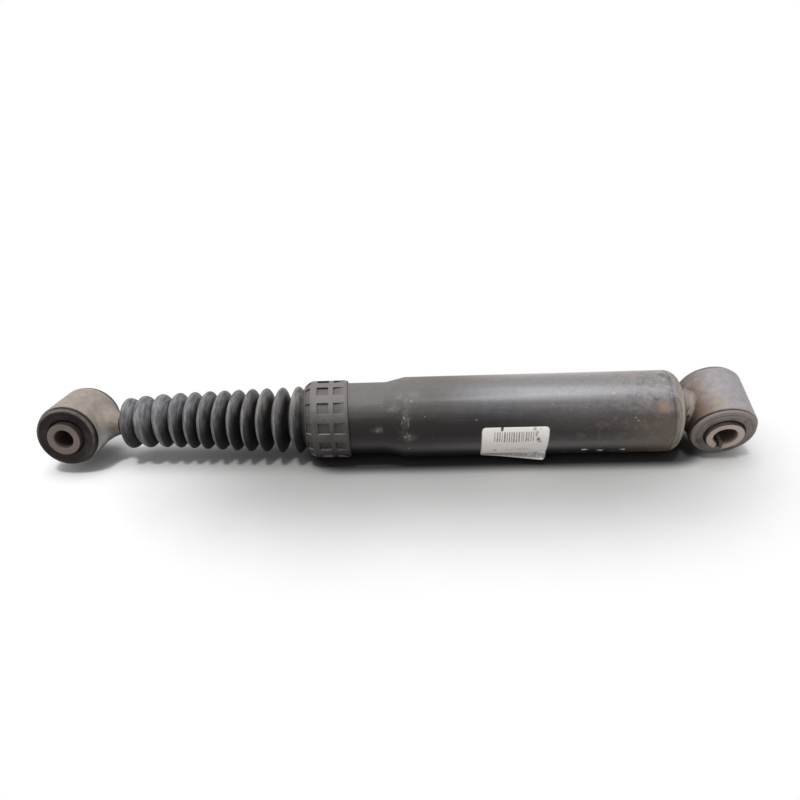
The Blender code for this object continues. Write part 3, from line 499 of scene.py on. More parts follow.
def bush_rubber(name, bolt, sleeve_r, dust_share, dust_and_highlight_tone, specular):
    material, place = new_finish(name)
    out, radius = along_bolt(place, bolt)
    cloud = grain(place, 85, 5, 0.6)
    fine = grain(place, 600, 4, 0.65)
    lying = step(normal(place)[2] + (cloud - 0.5), -0.35, 0.9)
    ridge = bell(radius, 17.9 * MM, 1.5 * MM)
    # Painted shade: near black in the groove round the sleeve and in the gap at the eye's edge.
    recess_shade = step(radius, sleeve_r + 1.5 * MM, sleeve_r + 0.5 * MM)
    joint_shade = step(radius, 18.25 * MM, 18.5 * MM) * step(abs(out), 17.7 * MM, 17.3 * MM)
    # Dust, and a painted highlight: along the top of the lip's ridge the same pale colour is laid on; on the upper
    # bush that highlight is nearly all of it.
    dust = step(fine * 0.5 + cloud * 0.7 + lying * 0.4 + ridge * 0.2 + dust_share * 0.3, 0.5, 1.05)
    dust = dust * most(lying * ridge * 0.9, dust_share)
    smear = step(grain(place, 130, 2, 0.5), 0.58, 0.66) * (1 - ridge)
    colour = coats(
        mix(cloud, (0.01, 0.0066, 0.006), (0.0205, 0.0138, 0.0124)),
        (dust, dust_and_highlight_tone),
        (most(smear * 0.4, recess_shade * 0.85, joint_shade), (0.016, 0.012, 0.011)),
    )
    roughness = 0.4 + fine * 0.12 + dust * 0.35
    return complete(material, colour, roughness, 0, fine * 0.5 + cloud * 0.4, 0.12 * MM, specular)


upper_rubber = bush_rubber("upper_bush_rubber_black", upper_bolt, UPPER_SLEEVE_R, 0.08,
                           (0.3, 0.258, 0.232), 0.14)
lower_rubber = bush_rubber("lower_bush_rubber_dusty", lower_bolt, LOWER_SLEEVE_R, 1,
                           (0.228, 0.194, 0.178), 0.3)

# %% [markdown]
# ## Rubber of the gaiter
# The bellows is a moulded rubber that has turned grey with age. Its crests, its top and the sides that
# face the rod's eye are pale, with dust and with painted light from above and from the left, a little
# warmer towards the collar, its folds stay dark and clean, and dirty water has run down it in streaks.
# The distance from the axis tells crest from fold, so the pale layer is a threshold on that radius,
# broken up by noise.

# %% Gaiter rubber
def gaiter_rubber():
    material, place = new_finish("aged_gaiter_rubber")
    x, radius, turn = round_axis(place)
    swell = radius + x * -0.039
    sideways, _, height = normal(place)
    cloud = grain(place, 70, 5, 0.6)
    fine = grain(place, 900, 3, 0.6)
    run = grain(together(x, radius, abs(turn) * (4 * MM)), 560, 4, 0.62)
    crest = step(swell + sway(cloud, 3 * MM), 18.6 * MM, 22.8 * MM)
    lying = step(height + sway(cloud, 0.7), -0.35, 0.85)
    eye_side_dust_and_light = step(sideways + sway(run, 0.35), 0.45, -0.55)
    flank = step(swell + sway(cloud, 1.6 * MM), 16.8 * MM, 21.8 * MM)
    top = step(turn.math("SINE", turn) + sway(cloud, 0.3), 0.42, 0.98)
    # Dust and painted light: pale on crests and top, paler where the surface faces up, and on the sides turned to
    # the eye, the side the light comes from.
    bloom_and_painted_light = most(crest * lying * 0.6, eye_side_dust_and_light * flank, top * flank * 0.85) * (0.62 + lying * 0.38)
    bloom_and_painted_light = bloom_and_painted_light * step(run, 0.36, 0.62, 0.42, 1)
    warm = step(x, -125 * MM, -70 * MM)
    colour = coats(
        mix(cloud, (0.0085, 0.008, 0.0088), (0.017, 0.0162, 0.0175)),
        (bloom_and_painted_light, mix(warm, (0.285, 0.28, 0.29), (0.3, 0.284, 0.274))),
        (step(run, 0.58, 0.72) * eye_side_dust_and_light * flank * 0.35, (0.33, 0.315, 0.305)),
        (step(fine + crest * 0.05, 0.72, 0.79) * 0.3, (0.26, 0.245, 0.23)),
    )
    roughness = 0.48 + cloud * 0.12 + bloom_and_painted_light * 0.15
    return complete(material, colour, roughness, 0, fine * 0.4 + run * 0.15, 0.12 * MM, 0.2)


gaiter_black = gaiter_rubber()

# %% [markdown]
# ## Plastic of the collar
# The ring that holds the gaiter is injection moulded in a filled black plastic, grey from wear. Its
# outer lands are scuffed, and painted shade darkens the floors of its windows. The two side walls of a
# window differ most: the one that faces up round the ring carries a painted highlight, and the other
# is painted black with shade.

# %% Collar plastic
def collar_plastic():
    material, place = new_finish("scuffed_black_plastic")
    _, radius, turn = round_axis(place)
    _, outward, upward = normal(place)
    cloud = grain(place, 80, 5, 0.6)
    fine = grain(place, 800, 4, 0.65)
    rub = grain(place, 1, 4, 0.62, (1300, 160, 160))
    land = step(radius, 23.5 * MM, 24.15 * MM)
    lying = step(upward + sway(cloud, 0.6), 0.18, 1)
    scuff = land * step(rub * 0.6 + cloud * 0.5, 0.42, 0.72)
    round_way = outward * turn.math("SINE", turn) + upward * turn.math("COSINE", turn)
    colour = coats(
        mix(cloud, (0.032, 0.0275, 0.026), (0.052, 0.0465, 0.044)),
        (scuff * 0.5, (0.11, 0.099, 0.094)),
        (lying * 0.8, (0.205, 0.187, 0.18)),
        # Painted shade on the window floors.
        ((1 - land) * 0.34, (0.016, 0.014, 0.0132)),
        (step(fine, 0.66, 0.76) * 0.35 * land, (0.28, 0.26, 0.25)),
        # Painted shade on window walls facing down round the ring; painted highlight on those facing up.
        (step(round_way, -0.25, -0.7) * 0.92, (0.011, 0.0095, 0.009)),
        (step(round_way, 0.3, 0.75) * 0.6, (0.3, 0.278, 0.268)),
    )
    roughness = 0.48 + fine * 0.15 + lying * 0.1
    return complete(material, colour, roughness, 0, fine * 0.4 + rub * 0.25, 0.08 * MM)


collar_black = collar_plastic()

# %% [markdown]
# ## Steel of the sleeves
# Both sleeves are cut or rolled steel tube. The upper one is dark and oily, the lower one pale
# with dried mud. Their end faces carry the rings of the tool that faced them, so a fine noise runs
# with the distance from the bolt, and the bore goes dark towards its middle with rust and painted
# shade. Painted shade also blackens the outer wall next to the end faces.

# %% Sleeve steel
def sleeve_steel(name, bolt, face_tone, dark_tone, bore_r, outer_r):
    material, place = new_finish(name)
    out, radius = along_bolt(place, bolt)
    cloud = grain(place, 120, 5, 0.6)
    fine = grain(place, 1000, 4, 0.62)
    rings = grain(together(radius, cloud * 0.0006), 2600, 2)
    depth = step(abs(out), 22.2 * MM, 17 * MM)
    # Rust and painted shade in the bore, deeper towards its middle.
    bore_rust_and_shade = step(radius, bore_r + 0.9 * MM, bore_r + 0.2 * MM) * step(depth, 0, 0.25)
    # Painted shade: the outer wall near the end face is made near black.
    flank = step(radius, outer_r - 0.45 * MM, outer_r - 0.1 * MM)
    rust = step(cloud * 0.8 + fine * 0.5, 0.62, 0.82)
    colour = coats(
        mix(cloud, dark_tone, face_tone),
        (step(rings, 0.55, 0.7) * 0.35, dark_tone),
        (rust * 0.35, (0.19, 0.115, 0.07)),
        (step(fine, 0.62, 0.74) * 0.4, (0.05, 0.043, 0.04)),
        (bore_rust_and_shade * step(depth, 0, 1, 0.6, 0.95),
         mix(fine, (0.016, 0.011, 0.009), (0.085, 0.054, 0.038))),
        (flank * step(cloud, 0.3, 0.7, 0.98, 0.88), (0.013, 0.0095, 0.008)),
    )
    metallic = (1 - most(bore_rust_and_shade, flank)) * step(cloud, 0.3, 0.7, 0.3, 0.1)
    roughness = 0.54 + fine * 0.16 + flank * 0.15
    relief = fine * 0.5 + cloud * 0.3 + rings * 0.15
    return complete(material, colour, roughness, metallic, relief, 0.14 * MM, 0.3)


upper_sleeve_steel = sleeve_steel("upper_sleeve_steel", upper_bolt, (0.165, 0.14, 0.125),
                                  (0.105, 0.088, 0.079), UPPER_BORE_R, UPPER_SLEEVE_R)
lower_sleeve_steel = sleeve_steel("lower_sleeve_steel", lower_bolt, (0.6, 0.5, 0.44),
                                  (0.4, 0.325, 0.285), LOWER_BORE_R, LOWER_SLEEVE_R)

# %% [markdown]
# ## Turned forms
# Nearly everything here is round: it was drawn, turned or moulded about an axis. A lathe in mesh code
# needs only the outline. Real corners are never sharp, so each outline point carries its own radius
# and `rounded` replaces the corner by an arc. A Bevel modifier could do the same later, but an arc in
# the outline keeps the mesh even and costs nothing at corners that need none.

# %% Outline with rounded corners
def rounded(points, steps=5):
    """Closed outline from (along, radius, corner radius) points, with each corner as an arc."""
    outline = []
    for index, (along, radius, corner) in enumerate(points):
        here = Vector((along, radius))
        before = Vector(points[index - 1][:2]) - here
        after = Vector(points[(index + 1) % len(points)][:2]) - here
        if corner <= 0:
            outline.append(here)
            continue
        half = before.angle(after) / 2
        cut = min(corner / tan(half), 0.49 * before.length, 0.49 * after.length)
        start = here + before.normalized() * cut
        end = here + after.normalized() * cut
        centre = here + (before.normalized() + after.normalized()).normalized() * (cut / cos(half))
        swing = (start - centre).angle_signed(end - centre)
        for turn in range(steps + 1):
            outline.append(centre + Matrix.Rotation(-swing * turn / steps, 2) @ (start - centre))
    return outline


def plain_ring(start, end, bore_r, outer_r, bore_corner, outer_corner, steps=5):
    """Outline of a plain ring, with one corner radius at its bore and one outside."""
    return rounded([(start, bore_r, bore_corner), (start, outer_r, outer_corner),
                    (end, outer_r, outer_corner), (end, bore_r, bore_corner)], steps)


def sweep(centre_x, centre_r, radius, first, last, steps):
    """Outline points on a large round; 0 degrees points along +X and 90 away from the axis."""
    points = []
    for number in range(steps + 1):
        angle = radians(first + (last - first) * number / steps)
        points.append((centre_x + radius * cos(angle), centre_r + radius * sin(angle), 0))
    return points


# %% The lathe
def ring_point(along, radius, angle):
    """Point of a ring about local X; the angle is measured up from the front."""
    return Vector((along, -radius * cos(angle), radius * sin(angle)))


def skin(bm, rings, closed=True):
    """Quads from each ring of vertices to the next, and from the last to the first if closed."""
    for ring, following in zip(rings, rings[1:] + (rings[:1] if closed else [])):
        for one in range(len(ring)):
            two = (one + 1) % len(ring)
            bm.faces.new((ring[one], ring[two], following[two], following[one]))


def lathe(name, outline, place, segments, point=ring_point):
    """Mesh of a closed outline spun about the local X axis of a place."""
    bm = bmesh.new()
    rings = []
    for index in range(segments):
        angle = tau * index / segments
        rings.append([bm.verts.new(place @ point(along, radius, angle)) for along, radius in outline])
    skin(bm, rings)
    return settle(name, bm)


def settle(name, bm, crease=38):
    """Turn a bmesh into a smooth-shaded object with its sharp edges kept."""
    bmesh.ops.remove_doubles(bm, verts=bm.verts, dist=1e-7)
    bmesh.ops.recalc_face_normals(bm, faces=bm.faces)
    mesh = bpy.data.meshes.new(name)
    bm.to_mesh(mesh)
    bm.free()
    mesh.shade_smooth()
    mesh.set_sharp_from_angle(angle=radians(crease))
    return add_object(name, mesh)


def wear(piece, material, body, slot, *nodes):
    """Give a piece its finish, its body and the solids that it stands for."""
    piece.data.materials.append(material)
    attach(piece, body)
    if nodes:
        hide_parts(*nodes)
    print("piece:", piece.name, len(piece.data.polygons), "faces on", body)
    return piece


# %% [markdown]
# ## Outer tube
# The body is a drawn tube, swaged down to a neck that the collar clips on. The other end is rolled
# inwards over the base in a large round, with a groove where the rolling tool stopped. One outline makes
# all of it, wall and bore included. It is a hair under the solid's size, because a round tube reaches
# lower than a faceted one and has to lie on the table, not in it.

# %% Outer tube
NECK_R = 22.45 * MM
NECK_BORE = 16.5 * MM
WALL = 2 * MM
ROLL = 8 * MM
neck_end, tube_end = tube_low.x, tube_high.x
shoulder = tube_end - ROLL
tube_outline = rounded([
    (neck_end, NECK_BORE, 0.4 * MM),
    (neck_end, NECK_R, 2.5 * MM),
    (-1.6 * MM, NECK_R, 14 * MM),
    (10.4 * MM, TUBE_R, 6 * MM),
    (shoulder - 0.9 * MM, TUBE_R, 0.5 * MM),
    (shoulder, TUBE_R - 0.24 * MM, 0.5 * MM),
    (shoulder + 0.7 * MM, TUBE_R - 0.03 * MM, 0.3 * MM),
    *sweep(shoulder, TUBE_R - ROLL, ROLL, 82, 0, 16),
    (tube_end - 0.2 * MM, TUBE_R - ROLL - 0.5 * MM, 0),
    (tube_end - WALL, TUBE_R - ROLL - 0.5 * MM, 0),
    *sweep(shoulder, TUBE_R - ROLL, ROLL - WALL, 0, 90, 8),
    (10.7 * MM, TUBE_R - WALL, 3 * MM),
    (-2.1 * MM, NECK_R - WALL, 3 * MM),
    (neck_end + WALL, NECK_R - WALL, 0),
    (neck_end + WALL, NECK_BORE, 0),
], 8)
wear(lathe("outer_tube", tube_outline, damper_axis, 144), black_paint, "body", "black_paint",
     "reserve_tube")

# %% [markdown]
# ## Eyes
# Each eye is a short length of thick tube, faced at both ends. Its corners are broken by a little less
# than a millimetre, which is what makes its rim catch the light.

# %% Eye rings
EYE_R, EYE_WALL = 19.88 * MM, 2.8 * MM
UPPER_HALF, LOWER_HALF = 15.8 * MM, 17 * MM
EYE_SEGMENTS = 112


def eye_ring(name, half, bolt):
    outline = plain_ring(-half, half, EYE_R - EYE_WALL, EYE_R, 0.3 * MM, 0.8 * MM)
    return lathe(name, outline, bolt, EYE_SEGMENTS)


wear(eye_ring("upper_eye_ring", UPPER_HALF, upper_bolt), upper_steel, "rod", "weathered_steel",
     "upper_eye")
wear(eye_ring("lower_eye_ring", LOWER_HALF, lower_bolt), lower_steel, "body", "weathered_steel",
     "lower_eye")

# %% [markdown]
# ## Welds
# The lower eye is welded to the base, and the upper one to the rod by a long neck that flares out from
# the gaiter's cuff. A weld between a flat face and a round barrel is a saddle: short where the barrel
# comes close and long where it curves away. A modelled ring would float off the barrel, so each point of
# the bead's far edge is worked out on the barrel, and the bead is lofted to it with a waist or a flare
# and with the small ripples that the welding leaves.

# %% Weld saddles
WELD_COLUMNS, WELD_ROWS = 96, 14


def weld_saddle(name, eye, near_x, near_r, far_r, flare, waist, ripple, core_r):
    """Loft from a ring on the damper's axis to the barrel of an eye."""
    centre = eye.translation
    front = eye.to_3x3().col[0]
    lift = eye.to_3x3().col[2]
    inward = copysign(1, -centre.x)
    bm = bmesh.new()
    grid = []
    for column in range(WELD_COLUMNS):
        angle = tau * column / WELD_COLUMNS
        spoke = front * cos(angle) + lift * sin(angle)
        far_x = centre.x + inward * (sqrt(EYE_R ** 2 - (far_r * sin(angle)) ** 2) - 0.4 * MM)
        line = []
        for row in range(WELD_ROWS + 1):
            share = row / WELD_ROWS
            bulge = sin(pi * share)
            beads = noise.noise(Vector((cos(angle) * 4, sin(angle) * 4, share * 5)))
            radius = near_r + (far_r - near_r) * share ** flare - waist * bulge + ripple * beads * bulge
            x = near_x + (far_x - near_x) * share
            line.append(bm.verts.new(Vector((x, 0, axis_z)) + spoke * radius))
        for x in (far_x, near_x):
            line.append(bm.verts.new(Vector((x, 0, axis_z)) + spoke * core_r))
        grid.append(line)
    skin(bm, grid)
    return settle(name, bm, 50)


base_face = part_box("base_cap")[1].x
boss_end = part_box("upper_eye")[1].x
wear(weld_saddle("lower_weld", lower_bolt, base_face - 0.4 * MM, 13.4 * MM, 14.6 * MM, 1, 2 * MM,
                 0.8 * MM, 8 * MM), weld_steel, "body", "weathered_steel")
wear(weld_saddle("upper_weld", upper_bolt, boss_end + 1.9 * MM, 6.75 * MM, 15.6 * MM, 1.75, 0,
                 0.35 * MM, 6.3 * MM), upper_steel, "rod", "weathered_steel")

# %% [markdown]
# ## Bushes
# The rubber fills the ring between eye and sleeve and swells out of both ends of the eye in a rounded
# lip. The upper lip is pressed wider, over most of the end of its eye. On the face a shallow step marks
# the edge of the mould, and a groove runs round the sleeve.

# %% Rubber bushes
def bush(name, bolt, sleeve_r, eye_half, lip_r, face):
    """Lathe of a bush: its front half from the eye to the sleeve, and the same mirrored."""
    start = eye_half + 0.05 * MM
    front = [
        (start, 16.9 * MM, 0),
        (start, lip_r - 0.6 * MM, 0.2 * MM),
        (start + 0.65 * MM, lip_r, 0.4 * MM),
        (17.7 * MM, 18.95 * MM, 0.5 * MM),
        (19.05 * MM, 18.55 * MM, 1 * MM),
        (19.45 * MM, 17 * MM, 0.8 * MM),
        (19.15 * MM, 15.8 * MM, 0.4 * MM),
        (face, 15.2 * MM, 0.3 * MM),
        (face, sleeve_r + 1.2 * MM, 0.5 * MM),
        (face - 0.6 * MM, sleeve_r + 0.7 * MM, 0.3 * MM),
        (face - 0.7 * MM, sleeve_r + 0.25 * MM, 0.2 * MM),
    ]
    back = [(-along, radius, corner) for along, radius, corner in reversed(front)]
    return lathe(name, rounded(front + back, 4), bolt, EYE_SEGMENTS)


wear(bush("upper_bush", upper_bolt, UPPER_SLEEVE_R, UPPER_HALF, 19.45 * MM, 18.9 * MM),
     upper_rubber, "rod", "rubber", "upper_bush_rubber")
wear(bush("lower_bush", lower_bolt, LOWER_SLEEVE_R, LOWER_HALF, 18.9 * MM, 19.9 * MM),
     lower_rubber, "body", "rubber", "lower_bush_rubber")

# %% [markdown]
# ## Sleeves
# The upper sleeve is plain tube with chamfered ends. The lower one is rolled from strip, and its two
# edges don't meet: the open seam shows below the bore. Cutting a slot with a Boolean would work, but a
# lathe that stops short of a full turn gives the same gap with clean edges.

# %% Sleeves
SLEEVE_HALF = 22.3 * MM
SLEEVE_SEGMENTS = 96
SEAM_ANGLE, SEAM_WIDTH = radians(-101), 4.4 * MM


def sleeve_outline(outer_r, bore_r):
    return plain_ring(-SLEEVE_HALF, SLEEVE_HALF, bore_r, outer_r, 0.5 * MM, 0.6 * MM, 3)


def rolled_sleeve(name, outline, place):
    """Sleeve with an open seam: a lathe over most of a turn, closed by a flat face at each edge."""
    bm = bmesh.new()
    rings = []
    for index in range(SLEEVE_SEGMENTS + 1):
        ring = []
        for along, radius in outline:
            gap = asin(SEAM_WIDTH / 2 / radius)
            angle = SEAM_ANGLE + gap + (tau - 2 * gap) * (index / SLEEVE_SEGMENTS)
            point = (along, radius * cos(angle), radius * sin(angle))
            ring.append(bm.verts.new(place @ Vector(point)))
        rings.append(ring)
    skin(bm, rings, closed=False)
    bm.faces.new(rings[0])
    bm.faces.new(rings[-1])
    return settle(name, bm)


upper_outline = sleeve_outline(UPPER_SLEEVE_R, UPPER_BORE_R)
lower_outline = sleeve_outline(LOWER_SLEEVE_R, LOWER_BORE_R)
wear(lathe("upper_sleeve", upper_outline, upper_bolt, SLEEVE_SEGMENTS),
     upper_sleeve_steel, "upper_sleeve", "weathered_steel", "upper_bush_sleeve")
wear(rolled_sleeve("lower_sleeve", lower_outline, lower_bolt),
     lower_sleeve_steel, "lower_sleeve", "weathered_steel", "lower_bush_sleeve")

# %% [markdown]
# ## Gaiter
# The bellows has twelve lobes on a taper. Near the eye they are small, full and pressed together; towards
# the collar they get larger and sharper, with open folds between. Between two folds a lobe follows a sine
# raised to a power: a low power is a full lobe, a high one a sharp lobe. Rubber never sits quite true, so
# each lobe leans a little, and the whole bellows bows up off the rod.

# %% Gaiter outline
# In millimetres: where the crests are, and how far each leans over its top and swings at its front
CREST_X = [-166.8, -155.6, -144.5, -134.2, -125, -115.8, -106.2, -96.8, -87.9, -78.3, -68.1, -57.6]
LEAN = [1.2, 0.8, 0.3, -0.4, -0.8, -0.8, -0.6, -0.3, -0.4, 0.1, -0.3, -0.1]
SWING = [0, 2.7, 2.3, 0.8, 0.3, -0.8, -1, -1, -1, -0.9, -0.6, 0]
LOBES = len(CREST_X)
CREST_R = [16.25 + 5 * index / (LOBES - 1) for index in range(LOBES)]
LOBE_PARTS = 20
CUFF_R, CUFF_BORE = 8.2, 6.6
FLANGE_R, LAST_FOLD_R, LAST_BORE = 20.4, 16.9, 15.3
cuff_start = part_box("gaiter")[0].x
collar_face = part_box("gaiter_collar")[0].x


def gaiter_outline():
    """Outer side from cuff to flange, then back along the inner side."""
    cuff, face = cuff_start / MM, collar_face / MM
    folds = [(cuff + 1.6, CUFF_R)]
    for index in range(LOBES - 1):
        folds.append(((CREST_X[index] + CREST_X[index + 1]) / 2, 12.4 - 0.9 * index / (LOBES - 2)))
    folds.append((face - 2, LAST_FOLD_R))
    outer = [(cuff, CUFF_BORE), (cuff, CUFF_R - 0.3), (cuff + 0.3, CUFF_R), folds[0]]
    inner = []
    for index, crest in enumerate(zip(CREST_X, CREST_R)):
        power = 0.7 + 0.6 * index / (LOBES - 1)
        for part in range(1, LOBE_PARTS):
            share = 0.5 - 0.5 * cos(pi * part / LOBE_PARTS)
            foot = folds[index] if share <= 0.5 else folds[index + 1]
            along = 1 - abs(2 * share - 1)
            rise = sin(pi * share) ** (2.1 if index == 0 and share < 0.5 else power)
            outer.append((foot[0] + (crest[0] - foot[0]) * along, foot[1] + (crest[1] - foot[1]) * rise))
        outer.append(folds[index + 1])
        inner.append((folds[index][0], folds[index][1] - 1.6))
        inner.append((crest[0], crest[1] - 2.4))
    inner[0] = (folds[0][0] + 1.6, CUFF_BORE)
    flange = [(face + 1.7, LAST_FOLD_R), (face + 1.7, FLANGE_R), (face + 3, FLANGE_R),
              (face + 3, LAST_BORE), (folds[-1][0], LAST_BORE)]
    return [Vector(point) * MM for point in outer + flange + inner[::-1]]


# %% Gaiter
def settled_point(along, radius, angle):
    """Ring point with the lean of its lobe, a slight swell, and the bow of the whole bellows."""
    share = min(max((along - cuff_start) / (collar_face - cuff_start), 0), 1)
    near = max(index for index in range(LOBES) if index == 0 or CREST_X[index] * MM <= along)
    after = min(near + 1, LOBES - 1)
    span = (CREST_X[after] - CREST_X[near]) * MM
    blend = min(max((along - CREST_X[near] * MM) / span, 0), 1) if span else 0
    lean = LEAN[near] + (LEAN[after] - LEAN[near]) * blend
    swing = SWING[near] + (SWING[after] - SWING[near]) * blend
    ends = min(share / 0.03, (1 - share) / 0.05, 1)
    grow = noise.noise(Vector((along * 45, cos(angle), sin(angle))))
    radius *= 1 + 0.008 * grow * ends
    along += (swing * cos(angle) - lean * sin(angle)) * ends * radius / 19
    bow = 1.7 * MM * sin(pi * share ** 0.55) ** 2
    return ring_point(along, radius, angle) + Vector((0, 0, bow))


gaiter = lathe("gaiter_bellows", gaiter_outline(), damper_axis, 112, settled_point)
wear(gaiter, gaiter_black, "body", "rubber", "gaiter")
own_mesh(gaiter)

# %% [markdown]
# ## Collar
# The ring is moulded with three rows of twelve windows, and sits about five degrees askew. The front row
# breaks the rounded front, the middle row goes deep, and the rear row has a floor that ramps up to the
# rim. All edges lie on lines of one grid of angle and X, so the windows are made by pushing faces of that
# grid inwards. That keeps the mesh in clean quads, which a Boolean would not, and its edges can then be
# bevelled. The skew comes last, as a shift along X that grows from the front to the rear.

# %% Collar grid
COLLAR_R = 24.3
COLLAR_LINES = [0, 0.5, 1.1, 2.1, 3.2, 4.3, 6.4, 8.5, 10.9, 13.3, 15.6, 17.1, 18.6, 20.8, 23, 25.2,
                25.9, 26.1, 27, 27.2]
COLLAR_CELLS = 180
COLLAR_SKEW = 2 * MM
WINDOWS = [(2, 5, 21.2, 22.85), (7, 10, 22.9, 22.9), (12, 15, 23, 24.05)]
FIRST_WINDOW, WINDOW_PITCH, WINDOW_CELLS = 2, 15, 8


def collar_radii(line):
    """Outer and inner radius of the ring at a distance in millimetres from its face."""
    outer = COLLAR_R - 3.4 * max(0, 1 - line / 5.5) ** 1.6
    if line > 26:
        outer -= 0.3 if line < 27.1 else 0.5
    inner = 17.2 if line < 1.5 else 21 if line < 3.4 else 22.6
    return outer * MM, inner * MM


# %% Collar ring
def push_window(bm, cells, start_x, stop_x, floor_a, floor_b):
    """Sink a block of grid faces to a floor that runs from one radius to another."""
    pushed = bmesh.ops.extrude_face_region(bm, geom=cells)["geom"]
    bmesh.ops.delete(bm, geom=cells, context="FACES_ONLY")
    for vert in (part for part in pushed if isinstance(part, bmesh.types.BMVert)):
        share = (vert.co.x - start_x) / (stop_x - start_x)
        flat = Vector((0, vert.co.y, vert.co.z - axis_z))
        flat = flat.normalized() * (floor_a + (floor_b - floor_a) * share) * MM
        vert.co = Vector((vert.co.x, flat.y, flat.z + axis_z))


def sharp(edge):
    return len(edge.link_faces) == 2 and edge.calc_face_angle(0) > radians(45)


def collar_ring():
    bm = bmesh.new()
    lines = [collar_face + line * MM for line in COLLAR_LINES]
    outer, inner = [], []
    for index in range(COLLAR_CELLS):
        angle = radians(0.5) + tau * index / COLLAR_CELLS
        for shell, side in ((outer, 0), (inner, 1)):
            shell.append([bm.verts.new(damper_axis @ ring_point(x, collar_radii(line)[side], angle))
                          for x, line in zip(lines, COLLAR_LINES)])
    cells = {}
    for index in range(COLLAR_CELLS):
        after = (index + 1) % COLLAR_CELLS
        for row in range(len(lines) - 1):
            cells[index, row] = bm.faces.new((outer[index][row], outer[index][row + 1],
                                              outer[after][row + 1], outer[after][row]))
            bm.faces.new((inner[index][row + 1], inner[index][row], inner[after][row],
                          inner[after][row + 1]))
        for row in (0, -1):
            bm.faces.new((outer[index][row], outer[after][row], inner[after][row], inner[index][row]))
    for first in range(FIRST_WINDOW, COLLAR_CELLS, WINDOW_PITCH):
        for start, stop, floor_a, floor_b in WINDOWS:
            block = [cells[index % COLLAR_CELLS, row] for index in range(first, first + WINDOW_CELLS)
                     for row in range(start, stop)]
            push_window(bm, block, lines[start], lines[stop], floor_a, floor_b)
    for vert in bm.verts:
        vert.co.x -= COLLAR_SKEW * (0.7 + vert.co.y / (COLLAR_R * MM))
    bmesh.ops.recalc_face_normals(bm, faces=bm.faces)
    bmesh.ops.bevel(bm, geom=[edge for edge in bm.edges if sharp(edge)], offset=0.14 * MM, segments=2,
                    profile=0.6, affect="EDGES", clamp_overlap=True)
    return settle("gaiter_collar_ring", bm, 50)


wear(collar_ring(), collar_black, "body", "dark_plastic", "gaiter_collar")

# %% [markdown]
# ## Sticker
# A paper sticker is wrapped round the front of the tube. Its corners are rounded, its top edge has a
# torn notch, and its lower edge has come unstuck and stands away, most at the right. The surface is
# walked down from the top edge: the direction turns with the tube as far as the glue holds, then curls
# back. What is printed on it is only a block of plain bars and a grey band, made in the finish from the
# sheet's own width and length, so a UV map carries those two numbers.

# %% Sticker finish
# In millimetres: the sheet, then spots on it as x, y, half sizes, core, and the strength of a smudge
STICKER_WIDE, STICKER_LONG, CORNER = 40, 26.4, 2.4
TEARS = [(30.9, 1.4, 1.5, 2.4, -0.3), (32.3, 4.8, 1.7, 3.4, -0.3), (33.8, 8.6, 1.8, 3, -0.3),
         (34.8, 10.4, 2.6, 1, -0.3), (11.9, 0.8, 1.3, 2.2, 0.3)]
SMUDGES = [(8.6, 17.6, 1.7, 1.1, 0.1, 1), (33, 21.8, 5, 0.8, 0, 0.7),
           (24, 17, 6, 2, 0, 0.25)]


def sticker_paper():
    material, place = new_finish("worn_paper_sticker")
    across, length, _ = apart(place.node("TexCoord", None, None, "UV"))
    across, length = across * STICKER_WIDE, length * STICKER_LONG
    sheet = together(across, length)
    cloud = grain(place, 90, 5, 0.6)
    fine = grain(place, 700, 4, 0.65)
    ragged = sway(grain(place, 420, 3), 2)
    phase = across * 4.4 + grain(together(across), 0.45, 2, 0.5) * 9
    block = step(bell(across, 19.2, 13.4), 0.02, 0.06) * step(bell(length, 6.6, 4.2), 0.03, 0.1)
    bars = step(phase.math("SINE", phase), -0.15, 0.25) * block
    rule = bell(length, 10.6, 0.35) * bell(across, 18.6, 12.6)
    band = step(length, 22.1, 22.5) * step(length, 25.6, 25.2)
    tear = most(*[spot(sheet, ragged, *tear) for tear in TEARS])
    smudge = most(*[spot(sheet, ragged, *smudge) * strength for *smudge, strength in SMUDGES])
    edge = step(across.math("MINIMUM", across, STICKER_WIDE - across), 0.9, 0.1)
    colour = coats(
        mix(cloud, (0.86, 0.81, 0.775), (0.95, 0.91, 0.88)),
        (step(bars + rule * 0.5, 0, 1) * step(fine, 0.3, 0.6, 0.45, 0.75), (0.07, 0.064, 0.06)),
        (band * step(fine, 0.35, 0.6, 0.35, 0.75), (0.15, 0.135, 0.122)),
        (most(edge * 0.5, step(fine + cloud, 1.16, 1.3) * 0.6), (0.4, 0.355, 0.32)),
        (most(tear, smudge) * 0.9, (0.045, 0.04, 0.038)),
    )
    relief = fine * 0.3 + ragged * 0.2 - tear
    return complete(material, colour, 0.62 + fine * 0.15, 0, relief, 0.06 * MM, 0.35)


paper = sticker_paper()

# %% Sticker
STICKER_LEFT, STICKER_TOP = 56.9, radians(9.8)
STICKER_COLUMNS, STICKER_ROWS = 72, 56
CURL = 2.2 * MM
NOTCH_X, NOTCH_DEEP = 12, 1.1


def unit(value):
    return min(max(value, 0), 1)


